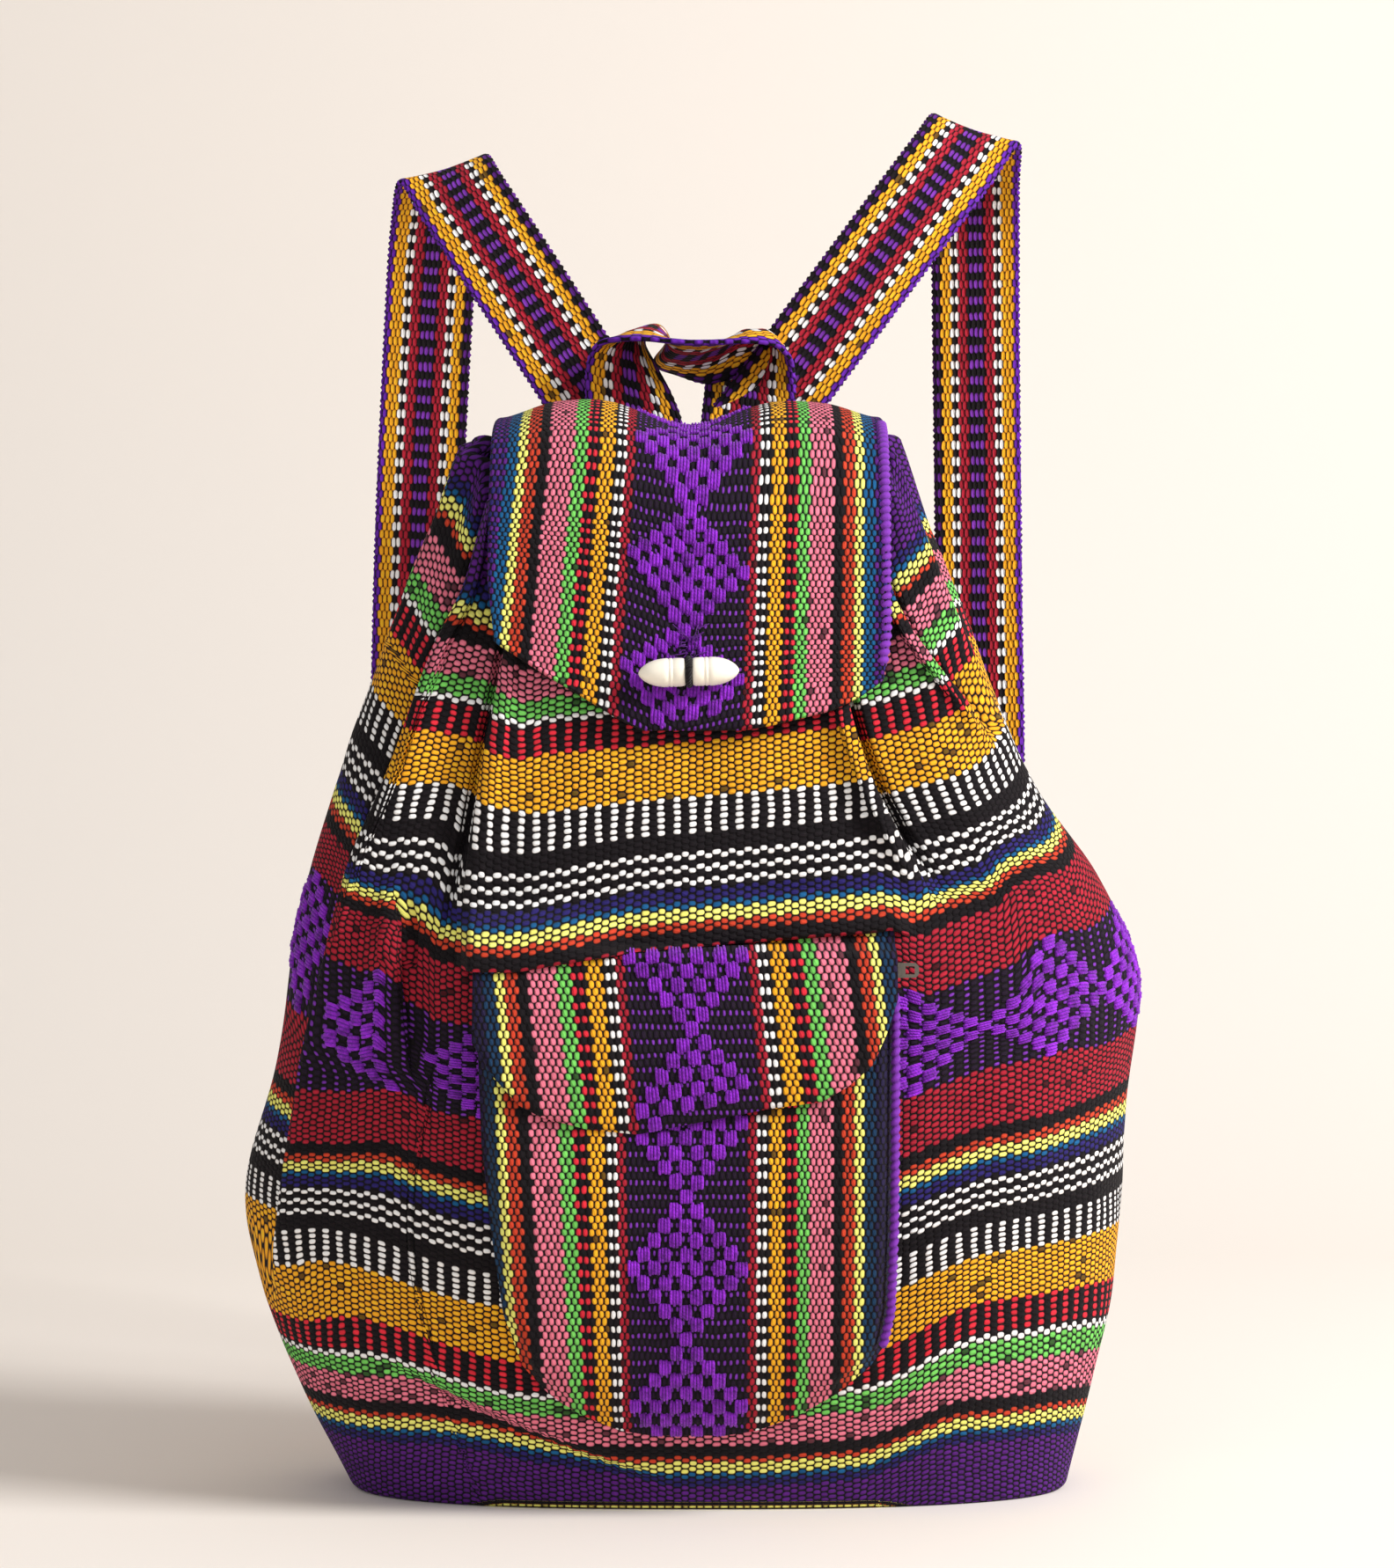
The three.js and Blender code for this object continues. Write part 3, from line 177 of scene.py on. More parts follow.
def back_face(x, z):
    return wall_depth(x, z, BACK_SIDE, BACK_POWER)


# Outline of the sack at the zip, with the cloth run from the front centre at each point
ANGLE = np.linspace(0, 2 * math.pi, 5761)
POWER = np.where(np.cos(ANGLE) > 0, 2 / FRONT_POWER, 2 / BACK_POWER)
UNIT_X = np.sign(np.sin(ANGLE)) * np.abs(np.sin(ANGLE)) ** POWER
UNIT_Y = -np.sign(np.cos(ANGLE)) * np.abs(np.cos(ANGLE)) ** POWER
UNIT_X[-1] = 0
OUTLINE_X = UNIT_X * side_half(UNIT_X, ZIP_HEIGHT)
OUTLINE_Y = UNIT_Y * np.where(UNIT_Y < 0, profile(FRONT_SIDE, ZIP_HEIGHT), profile(BACK_SIDE, ZIP_HEIGHT))
RUN = np.concatenate([[0], np.cumsum(np.hypot(np.diff(OUTLINE_X), np.diff(OUTLINE_Y)))])
ROUND = RUN[-1]
OUT_X = np.roll(OUTLINE_Y[:-1], -4) - np.roll(OUTLINE_Y[:-1], 4)
OUT_Y = np.roll(OUTLINE_X[:-1], 4) - np.roll(OUTLINE_X[:-1], -4)
OUT_LENGTH = np.hypot(OUT_X, OUT_Y)
OUT_X, OUT_Y = np.append(OUT_X / OUT_LENGTH, 0), np.append(OUT_Y / OUT_LENGTH, -1)


def lift_at(angle):
    from_front = np.minimum(angle, 2 * math.pi - angle)
    return grows(from_front, RISE_FROM, RISE_TO - RISE_FROM)


def angle_at(x, z):
    """Angle round the front of the sack, from its middle to either side."""
    share = np.minimum(0.995, np.abs(x) / side_half(x, z))
    return np.arcsin(share ** (FRONT_POWER / 2))


def cloth_at(x, z):
    angle = angle_at(x, z)
    return np.where(x > 0, np.interp(angle, ANGLE, RUN), np.interp(2 * math.pi - angle, ANGLE, RUN) - ROUND)


def sack_points(cloth, height, inset, out):
    """Places on the sack for a run of cloth from the front centre and a ring height."""
    run = np.mod(cloth, ROUND)
    lines = (ANGLE, UNIT_X, UNIT_Y, OUT_X, OUT_Y)
    angle, ux, uy, out_x, out_y = (np.interp(run, RUN, values) for values in lines)
    z = height + MOUTH_RISE * smooth(height / RISE_SPAN) * lift_at(angle)
    half = side_half(ux, z) - inset
    depth = np.where(uy < 0, profile(FRONT_SIDE, z), profile(BACK_SIDE, z)) - inset
    return np.stack([ux * half + out_x * out, uy * depth + out_y * out, z], -1)


def gather_offset(cloth, height):
    turn = 2 * math.pi * cloth / ROUND
    start = 225 + 45 * np.sin(3 * turn + 1)
    growth = grows(height, start, MOUTH - start)
    return GATHER_DEPTH * growth * grows(np.abs(cloth), 160, 50) * np.cos(GATHER_COUNT * turn)


def fold_offset(cloth, height):
    total = 0
    for edge, depth, start, full in FRONT_FOLDS:
        beyond = (cloth - edge) * np.sign(edge)
        shape = 0.35 * smooth(1 + beyond / 16) - smooth(beyond / 8) + 0.65 * grows(beyond, 8, 36)
        total = total + depth * grows(height, start, full - start) * shape
    return total


# Mesh making


def stacked(*parts):
    """Places or cloth coordinates from their separate parts."""
    return np.stack(np.broadcast_arrays(*parts), -1)


def unit(vectors):
    return vectors / np.maximum(np.linalg.norm(vectors, axis=-1, keepdims=True), 1e-9)


def run_along(points):
    return np.concatenate([[0], np.cumsum(np.linalg.norm(np.diff(points, axis=0), axis=1))])


def grid_faces(rows, columns, first=0):
    r, c = np.meshgrid(np.arange(rows - 1), np.arange(columns - 1), indexing="ij")
    a = (first + r * columns + c).ravel()
    return np.stack([a, a + 1, a + columns + 1, a + columns], 1)


def make_piece(name, points, faces, uv, material, body, nodes=(), slot=None):
    """One smooth mesh object, given in millimetres, that rides on a body of the frame."""
    mesh = bpy.data.meshes.new(name)
    points = np.asarray(points, float).reshape(-1, 3) * MM
    faces = np.asarray(faces)
    sides = faces.shape[1]
    mesh.vertices.add(len(points))
    mesh.vertices.foreach_set("co", points.ravel())
    mesh.loops.add(faces.size)
    mesh.loops.foreach_set("vertex_index", faces.ravel().astype(np.int32))
    mesh.polygons.add(len(faces))
    mesh.polygons.foreach_set("loop_start", np.arange(0, faces.size, sides, dtype=np.int32))
    mesh.polygons.foreach_set("use_smooth", np.ones(len(faces), bool))
    layer = mesh.uv_layers.new(name="cloth")
    layer.data.foreach_set("uv", np.asarray(uv, float).reshape(-1, 2)[faces.ravel()].ravel())
    mesh.update(calc_edges=True)
    mesh.validate()
    mesh.materials.append(material)
    obj = bpy.data.objects.new(name, mesh)
    bpy.context.scene.collection.objects.link(obj)
    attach(obj, body)
    if nodes:
        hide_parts(*nodes)
    return obj


def joined(parts):
    """Several (points, faces, uv) lists as one."""
    points, faces, uvs, first = [], [], [], 0
    for p, f, t in parts:
        points.append(np.reshape(p, (-1, 3)))
        faces.append(np.asarray(f) + first)
        uvs.append(np.reshape(t, (-1, 2)))
        first += len(points[-1])
    return np.concatenate(points), np.concatenate(faces), np.concatenate(uvs)


def sheet_parts(outer, inner, uv):
    """A sheet with a face, a back and a rim, from two grids of the same size."""
    rows, columns = outer.shape[:2]
    index = np.arange(rows * columns).reshape(rows, columns)
    rim = np.concatenate([index[0], index[1:, -1], index[-1, -2::-1], index[-2:0:-1, 0]])
    ahead = np.roll(rim, -1)
    count = rows * columns
    sides = np.stack([rim, rim + count, ahead + count, ahead], 1)
    faces = np.concatenate([grid_faces(rows, columns), grid_faces(rows, columns, count)[:, ::-1], sides])
    points = np.concatenate([outer.reshape(-1, 3), inner.reshape(-1, 3)])
    return points, faces, np.concatenate([uv.reshape(-1, 2)] * 2)


def normals_of(grid):
    return unit(np.cross(np.gradient(grid, axis=1), np.gradient(grid, axis=0)))


def facing_front(normals):
    """The same normals, turned so that the middle one points to the front."""
    rows, columns = normals.shape[:2]
    return -normals if normals[rows // 2, columns // 2, 1] > 0 else normals


def rings(path, guide, angle, size):
    """Points of rings round a path; the guide is a direction that the path never takes."""
    tangent = unit(np.gradient(path, axis=0))
    side = unit(np.cross(tangent, guide))
    up = np.cross(side, tangent)
    spoke = side[:, None] * np.cos(angle)[:, None] + up[:, None] * np.sin(angle)[:, None]
    return path[:, None] + spoke * size[..., None]


def tube(path, radius, turns=12):
    path = np.asarray(path, float)
    angle = np.linspace(0, 2 * math.pi, turns + 1)
    size = np.broadcast_to(radius, len(path))[:, None]
    ring = rings(path, np.array([0.31, 0.11, 0.94]), angle, size)
    return ring, grid_faces(len(path), turns + 1), stacked(run_along(path)[:, None], angle)


def curve_points(stations, shares, tension=None):
    """Catmull-Rom curve at shares of its own parameter: centripetal, or uniform with a tension."""
    p = np.array(stations, float)
    p = np.concatenate([[2 * p[0] - p[1]], p, [2 * p[-1] - p[-2]]])
    t = np.clip(np.asarray(shares, float), 0, 1) * (len(p) - 3)
    k = np.minimum(t.astype(int), len(p) - 4)
    w = (t - k)[:, None]
    p0, p1, p2, p3 = p[k], p[k + 1], p[k + 2], p[k + 3]
    if tension is None:
        pairs = ((p0, p1), (p1, p2), (p2, p3))
        d0, d1, d2 = (np.maximum(np.linalg.norm(b - a, axis=1), 1e-6)[:, None] ** 0.5 for a, b in pairs)
        m1 = ((p1 - p0) / d0 - (p2 - p0) / (d0 + d1) + (p2 - p1) / d1) * d1
        m2 = ((p2 - p1) / d1 - (p3 - p1) / (d1 + d2) + (p3 - p2) / d2) * d1
    else:
        m1, m2 = tension * (p2 - p0), tension * (p3 - p1)
    square = -3 * p1 + 3 * p2 - 2 * m1 - m2
    cube = 2 * p1 - 2 * p2 + m1 + m2
    return p1 + m1 * w + square * w ** 2 + cube * w ** 3


# Materials

# Threads told apart by a colour ramp
THREADS = 256
# Share of light that the palest yarn gives back
BRIGHTEST = 0.9
# Height of a grain of the weave, in metres like all heights in the materials
RELIEF = 0.00045
# Step of the cloth coordinate from one brocade pad to the next
PAD_STEP = 40.0


class Value:
    """An output of a node that can be used in sums."""

    def __init__(self, shader, socket):
        self.shader = shader
        self.socket = socket


OPERATIONS = {
    "add": "ADD", "sub": "SUBTRACT", "mul": "MULTIPLY", "truediv": "DIVIDE", "pow": "POWER",
    "lt": "LESS_THAN", "gt": "GREATER_THAN", "abs": "ABSOLUTE", "round": "ROUND",
}
for word, operation in OPERATIONS.items():
    setattr(Value, f"__{word}__", lambda self, *other, name=operation: self.shader.math(name, self, *other))


class Shader:
    """A node material built up from values."""

    def __init__(self, name):
        self.material = bpy.data.materials.new(name)
        self.material.use_nodes = True
        self.tree = self.material.node_tree
        self.tree.nodes.clear()
        self.output = self.tree.nodes.new("ShaderNodeOutputMaterial")
        self.surface = self.tree.nodes.new("ShaderNodeBsdfPrincipled")
        self.tree.links.new(self.surface.outputs[0], self.output.inputs[0])

    def put(self, target, value):
        if isinstance(value, Value):
            self.tree.links.new(value.socket, target)
        else:
            target.default_value = value

    def node(self, kind, inputs=(), **settings):
        """The outputs of a new node, as values."""
        node = self.tree.nodes.new(kind)
        for key, value in settings.items():
            setattr(node, key, value)
        for key, value in dict(inputs).items():
            self.put(node.inputs[key], value)
        return [Value(self, socket) for socket in node.outputs]

    def math(self, operation, *values):
        return self.node("ShaderNodeMath", dict(enumerate(values)), operation=operation)[0]

    def vector(self, operation, inputs):
        return self.node("ShaderNodeVectorMath", inputs, operation=operation)[0]

    def scaled(self, tint, level):
        return self.vector("SCALE", {0: tint, "Scale": level})

    def blend(self, factor, a, b):
        return self.node("ShaderNodeMix", {0: factor, 6: a, 7: b}, data_type="RGBA")[2]

    def span(self, value, low, high, to_low=0.0, to_high=1.0):
        inputs = {0: value, 1: low, 2: high, 3: to_low, 4: to_high}
        return self.node("ShaderNodeMapRange", inputs, interpolation_type="SMOOTHSTEP")[0]

    def noise(self, where, scale, detail):
        return self.node("ShaderNodeTexNoise", {"Vector": where, "Scale": scale, "Detail": detail})[0]

    def chance(self, where):
        return self.node("ShaderNodeTexWhiteNoise", {"Vector": where})

    def combine(self, *parts):
        return self.node("ShaderNodeCombineXYZ", dict(enumerate(parts)))[0]

    def split(self, where):
        return self.node("ShaderNodeSeparateXYZ", {0: where})

    def cloth(self):
        return self.node("ShaderNodeUVMap", uv_map="cloth")[0]

    def body(self):
        """Place in the object's own frame."""
        return self.node("ShaderNodeTexCoord")[3]

    def ramp(self, factor, stops):
        """Colour and mark of the stop that a factor has passed."""
        node = self.tree.nodes.new("ShaderNodeValToRGB")
        self.put(node.inputs[0], factor)
        node.color_ramp.interpolation = "CONSTANT"
        elements = node.color_ramp.elements
        while len(elements) > 1:
            elements.remove(elements[-1])
        elements[0].position, elements[0].color = stops[0]
        for position, value in stops[1:]:
            elements.new(position).color = value
        return [Value(self, socket) for socket in node.outputs]

    def finish(self, tint, roughness, lift=None, **inputs):
        inputs.update(Base_Color=tint, Roughness=roughness)
        if lift is not None:
            bump = {"Strength": 1.0, "Distance": 1.0, "Height": lift}
            inputs["Normal"] = self.node("ShaderNodeBump", bump)[0]
        for key, value in inputs.items():
            self.put(self.surface.inputs[key.replace("_", " ")], value)
        return self.material


def band_stops(bands, parity, thread):
    """Colour stops for one set of threads: each band is (end, even colour, odd colour, mark).

    A mark under a half is the share of dark flecks, and a mark of one makes the odd threads show as dots."""
    stops, start, last = [], 0, None
    for end, even, odd, mark in bands:
        name = (even, odd)[parity]
        shown = mark if mark < 0.5 or parity else 0
        if (name, shown) != last:
            stops.append((max(0, math.ceil(start / thread) / THREADS - 0.0005), (*colour(name)[:3], shown)))
        last = (name, shown)
        start = end
    return stops


def weave_material(name, bands, pick, thread, grain, mirrored=True):
    """Warp-faced plain weave: u runs along the threads and v across them, both in millimetres."""
    s = Shader(name)
    where = s.cloth()
    u, v, _ = s.split(where)
    uneven = (s.noise(where, 0.13, 2.0) - 0.5) * 2.2
    u, v = u + uneven, v + uneven * 0.5

    def grains(parity):
        from_u = u - pick * (0.5 + parity)
        from_v = v - thread * parity
        column = round(from_u / (2 * pick))
        row = round(from_v / (2 * thread))
        du = (from_u - column * (2 * pick)) / (pick * grain[0])
        dv = (from_v - row * (2 * thread)) / (thread * grain[1])
        index = row * 2.0 + float(parity)
        count = abs(index) if mirrored else index
        shade, mark = s.ramp((count + 0.5) / THREADS, band_stops(bands, parity, thread))
        reach = (abs(du) ** 3.0 + abs(dv) ** 2.4) * ((mark > 0.5) * 1.6 + 1.0)
        return reach, shade, mark, s.combine(column, index, float(parity)), s.combine(du, dv)

    even, odd = grains(0), grains(1)
    above = odd[0] < even[0]
    height = s.math("SUBTRACT", 1.0, s.math("MINIMUM", even[0], odd[0]))
    base = s.blend(above, even[1], odd[1])
    mark = even[2] * s.math("SUBTRACT", 1.0, above) + odd[2] * above
    pairs = zip(even[3:], odd[3:])
    cell, local = (s.node("ShaderNodeMix", {0: above, 4: a, 5: b}, data_type="VECTOR")[1] for a, b in pairs)
    _, index, _ = s.split(cell)
    along, across, _ = s.split(local)
    grain_level, grain_colour = s.chance(cell)
    _, fleck_chance, twist_start = s.node("ShaderNodeSeparateColor", {0: grain_colour})
    thread_level = s.noise(s.combine(u * 0.03, index * 3.7), 1.0, 2.0)
    strand = s.math("SINE", across * 7.0 + along * 3.2 + twist_start * 6.0)
    level = grain_level * 0.3 + thread_level * 0.4 + 0.66 + strand * 0.06
    # Painted highlight and shade: each grain is brighter at its crown and darker towards its edges, set by
    # its height
    tint = s.scaled(base, level * s.span(height, 0.0, 0.95, 0.46, 1.28))
    tint = s.vector("MINIMUM", {0: tint, 1: (BRIGHTEST,) * 3})
    fleck = (fleck_chance < mark) * (mark < 0.5)
    shown = s.blend(fleck * 0.85, tint, colour("black"))
    # Black where the grains fall away: partly the dark weft showing between them, partly painted shade in the
    # gaps
    gap_shaded = s.blend(s.span(height, -0.06, 0.36), colour("black"), shown)
    lift = s.math("MAXIMUM", height, -0.3) * RELIEF + strand * 0.00003 + s.noise(where, 3.4, 3.0) * 0.00014
    return s.finish(gap_shaded, 0.86, lift, Sheen_Weight=0.02, Specular_IOR_Level=0.14)


def yarn_material(name, shade, lines=5.5, slant=1.4, spread=0.5):
    """Rolled hems and cords of several strands lying side by side."""
    s = Shader(name)
    where = s.cloth()
    u, v, _ = s.split(where)
    strand = abs(s.math("SINE", (v + u * (slant / 5)) * lines))
    fuzz = s.noise(where, 1.1, 4.0)
    # Painted shade and highlight: each strand lighter along its crest and darker in the grooves between
    # strands
    tint = s.scaled(colour(shade)[:3], strand * spread + fuzz * 0.6 + 0.45)
    return s.finish(tint, 0.8, strand * 0.00035 + fuzz * 0.0002, Sheen_Weight=0.1, Specular_IOR_Level=0.2)


def strand_material(name, shade):
    """Loose floats: u runs along a strand, a step further for each pad, and v counts the strands of a pad."""
    s = Shader(name)
    u, v, _ = s.split(s.cloth())
    pad = round(u / PAD_STEP)
    each = s.chance(s.combine(pad, s.math("FLOOR", v)))[0]
    whole = s.chance(s.combine(pad))[0]
    body = s.body()
    fuzz = s.noise(body, 1500.0, 3.0)
    lump = (s.noise(body, 430.0, 2.0) - 0.5) * 1.7
    twist = s.math("SINE", u * 5.0 + v * 9.0)
    level = each * 0.34 + whole * 0.32 + lump + fuzz * 0.75 + twist * 0.05 + 0.31
    # Painted shade: each pad darker towards the ends of its strands, where they dip into the ground
    level = level * s.span(abs(u - pad * PAD_STEP), 2.0, 3.1, 1.0, 0.72)
    tint = s.scaled(colour(shade)[:3], level)
    lift = twist * 0.00004 + fuzz * 0.00035
    return s.finish(tint, 0.85, lift, Sheen_Weight=0.15, Specular_IOR_Level=0.15)


def plain_material(name, shade, roughness, metallic=0.0, scale=600.0, depth=0.00008, spread=0.3):
    s = Shader(name)
    body = s.body()
    grain = s.noise(body, scale, 4.0)
    tint = s.scaled(colour(shade)[:3], s.noise(body, 90.0, 2.0) * spread + (1 - spread / 2))
    return s.finish(tint, grain * 0.16 + (roughness - 0.08), grain * depth, Metallic=metallic)


# Bands of the weaves, from the middle outwards or from one edge to the other

THREAD = 1.2
CHECKS = []
for row in (54, 58, 62):
    CHECKS += [((row - 0.5) * THREAD, "black", "black", 0), ((row + 1.5) * THREAD, "white", "white", 0)]
SACK_BANDS = [
    (21.5, "ground", "dot", 1), (42.5, "crimson", "crimson", 0.015), (47.1, "black", "black", 0),
    (51.3, "orange", "orange", 0), (55.6, "yellow", "yellow", 0), (58.4, "blue", "blue", 0),
    (63.5, "navy", "navy", 0), *CHECKS, (82, "black", "black", 0), (96.4, "white", "black", 0),
    (116.8, "gold", "gold", 0.035), (129.2, "red", "black", 0), (132, "white", "white", 0),
    (138.6, "green", "green", 0.05), (151, "pink", "pink", 0.07), (154.8, "black", "black", 0),
    (158.4, "orange", "orange", 0), (162.4, "yellow", "yellow", 0), (165, "blue", "blue", 0),
    (168.6, "navy", "navy", 0), (320, "purple", "purple", 0),
]
PATCH_BANDS = [
    (22.8, "ground", "dot", 1), (26.8, "crimson", "crimson", 0.02), (31.2, "white", "black", 0),
    (36.6, "gold", "gold", 0.02), (40.6, "red", "black", 0), (45.3, "green", "green", 0.02),
    (54.2, "pink", "pink", 0.02), (58, "black", "black", 0), (62, "orange", "orange", 0),
    (66, "yellow", "yellow", 0), (70, "blue", "blue", 0), (120, "navy", "purple", 0),
]
POCKET_BANDS = [*PATCH_BANDS[:-2], (70, "deep_blue", "deep_blue", 0), (120, "ink", "ink", 0)]
STRAP_BANDS = [
    (3, "rope", "rope", 0), (7.4, "gold", "gold", 0.02), (11, "white", "black", 0),
    (15.4, "crimson", "crimson", 0), (22.4, "dot", "black", 0), (26.6, "crimson", "crimson", 0),
    (30.2, "white", "black", 0), (34.6, "gold", "gold", 0.02), (60, "purple", "black", 0),
]
HEM_STITCH = 3.2
HEM_RADIUS = 1.6
HEM_LINES = 1 / (2 * HEM_RADIUS)
HEM_SLANT = 5 * math.pi / (HEM_LINES * HEM_STITCH)
sack_weave = weave_material("sack_weave", SACK_BANDS, pick=2.95, thread=THREAD, grain=(0.51, 0.85))
patch_weave = weave_material("patch_weave", PATCH_BANDS, pick=2.6, thread=1.12, grain=(0.56, 0.82))
pocket_weave = weave_material("pocket_weave", POCKET_BANDS, pick=2.6, thread=1.12, grain=(0.56, 0.82))
band_weave = weave_material("band_weave", STRAP_BANDS, pick=3.5, thread=1.05, grain=(0.6, 0.9),
                            mirrored=False)
brocade_yarn = strand_material("brocade_yarn", "violet")
thread_yarn = yarn_material("loose_thread", "violet")
hem_yarn = yarn_material("hem_yarn", "hem", lines=HEM_LINES, slant=HEM_SLANT, spread=0.75)


# Pleats of the sack's front


class Pleat:
    """A fold of the drawn-in front, with the cloth hidden in it and the step of the bands across it.

    Its line has the places (z, x) of its edge; its fade has the heights where it begins, is full,
    wanes and ends."""

    def __init__(self, side, line, fade, hidden, bulge, drop, run, step):
        self.side, self.fade, self.hidden = side, fade, hidden
        self.bulge, self.drop, self.run, self.step = bulge, drop, run, step
        self.stations = []
        for z, x in line:
            lift = float(lift_at(angle_at(x, z)))
            height = z
            for _ in range(6):
                height = z - MOUTH_RISE * float(smooth(height / RISE_SPAN)) * lift
            self.stations.append((height, float(cloth_at(x, z))))

    def edge(self, height):
        low, high = self.stations[0][0], self.stations[-1][0]
        return float(profile(self.stations, min(max(height, low), high)))

    def active(self, height):
        begin, full, wane, end = self.fade
        return float(grows(height, begin, full - begin) * fades(height, wane, end - wane))


# Flat place, folded place, share of the hidden cloth, share of the bulge, depth under the top layer
PLEAT_COLUMNS = np.array([
    (-6, -6, 0, 0.75, 0), (-4.5, -3, 0, 0.95, 0), (-3.2, -1, 0, 1, 0.03), (-2.2, 0.2, 0, 1, 0.14),
    (-1.4, 0.6, 0, 1, 0.3), (-0.7, 0.2, 0, 1, 0.45), (0, -1, -0.3, 1, 0.52), (0.7, -1, -0.9, 1, 0.56),
    (1.4, -2, -1, 1, 0.64), (2.2, -2.4, -1, 1, 0.76), (3.2, -1.6, -0.9, 1, 0.88), (4.5, 1, 0, 1, 0.96),
    (6, 6, 0, 1, 1),
])
PLEAT_REACH = 6
# Just within the reach, so that the end columns of a pleat count as well
PLEAT_END = 5.99
# Heights above the mouth, so that a pleat doesn't wane
ALWAYS = (900, 901)
LEFT_MAIN = Pleat(
    -1, [(75, -159), (113, -154), (171, -145), (209, -137), (242, -129), (280, -114), (327, -98), (352, -87),
         (390, -78)],
    (68, 103, *ALWAYS), hidden=12, bulge=4, drop=6, run=40, step=17)
LEFT_CREASE = Pleat(
    1, [(160, -102), (175, -106), (202, -110), (225, -110), (240, -112)],
    (158, 186, 212, 236), hidden=8, bulge=2.5, drop=4, run=18, step=7)
LEFT_INNER = Pleat(
    -1, [(205, -89), (242, -84), (283, -78), (377, -60)],
    (203, 262, *ALWAYS), hidden=9, bulge=2, drop=6, run=26, step=0)
RIGHT_MAIN = Pleat(
    1, [(222, 95), (233, 92), (254, 80), (303, 61), (377, 47)],
    (224, 262, *ALWAYS), hidden=11, bulge=4, drop=7, run=34, step=-7)
RIGHT_OUTER = Pleat(
    1, [(262, 133), (290, 118), (340, 82), (390, 66)],
    (268, 300, *ALWAYS), hidden=8, bulge=4, drop=5, run=24, step=7)
PLEATS = [LEFT_MAIN, LEFT_CREASE, LEFT_INNER, RIGHT_MAIN, RIGHT_OUTER]
# Columns of the grid in each strip between pleats, and the strip at the front centre
SPANS = [88, 14, 10, 64, 20, 84]
CENTRE = 3

# Where the bands of the front sag or stand up, set against the photo: place along the cloth
# and its reach, ring height and its reach, and how far the bands move there
SAGS = [
    (-160, 60, 235, 150, -12),  # outer left strip
    (-95, 55, 115, 70, 6),      # left of the pocket
    (-104, 14, 200, 40, -4),    # left of the pocket flap
    (-92, 30, 310, 45, -4),     # left of the main flap
    (106, 30, 215, 45, -7),     # right of the pocket flap
    (190, 45, 205, 65, -5),     # right flank
]
# Cloth drawn down beside the pocket on the left: place along the cloth, amount
DRAWN = [(-118, 0), (-104, 4), (-90, 9), (-72, 5), (-52, 3), (-20, 0)]
# Crease over the base, low on the left, with the belly hanging over it: cloth run, height, hidden cloth
BELLY = np.array([
    (-118, 58, 0), (-100, 50, 4), (-80, 39, 8), (-61, 30.5, 8), (-28, 17, 5), (-8, 12, 0),
], float)
# Height of the rows that carry the thin stripe at the foot, and its two places in the weave
STRIPE_ROWS = 5.5
STRIPE_BLACK = -153
STRIPE_YELLOW = -160.4


def sag_reach(offset):
    """One within half the reach of a sag, falling to nothing at its full reach."""
    return fades(np.abs(offset), 0.5, 0.5)


def band_rise(cloth, height):
    """How far the bands stand above the ring they lie on, judged from the photo."""
    low = fades(height, 60, 50)
    rise = 6.5 * np.clip(cloth / 92, -1, 1.3) * grows(height, 30, 60)
    rise = rise + grows(-cloth, 60, 60) * mix(15.5, 12, low)
    rise = rise + grows(-cloth, 108, 30) * 2 * (1 - low)
    rise = rise - straight(DRAWN, cloth) * grows(height, 120, 60) * fades(height, 232, 56)
    for place, along, level, tall, sag in SAGS:
        rise = rise + sag * sag_reach((cloth - place) / along) * sag_reach((height - level) / tall)
    reach = mix(13, mix(9.5, 2.5, grows(height, 225, 45)), grows(height, 70, 60))
    rise = rise + grows(cloth, 70, 48) * reach * (1 - 0.35 * grows(cloth, 150, 70))
    return rise - 2.6 * low * fades(np.abs(cloth), 20, 70)


def band_place(height):
    """Distance across the weave of a ring height, from the middle of the brocade band."""
    return np.where(height > 128.9, 0.985 * (height - 172), -42.5 - (128.9 - height) * 1.081)


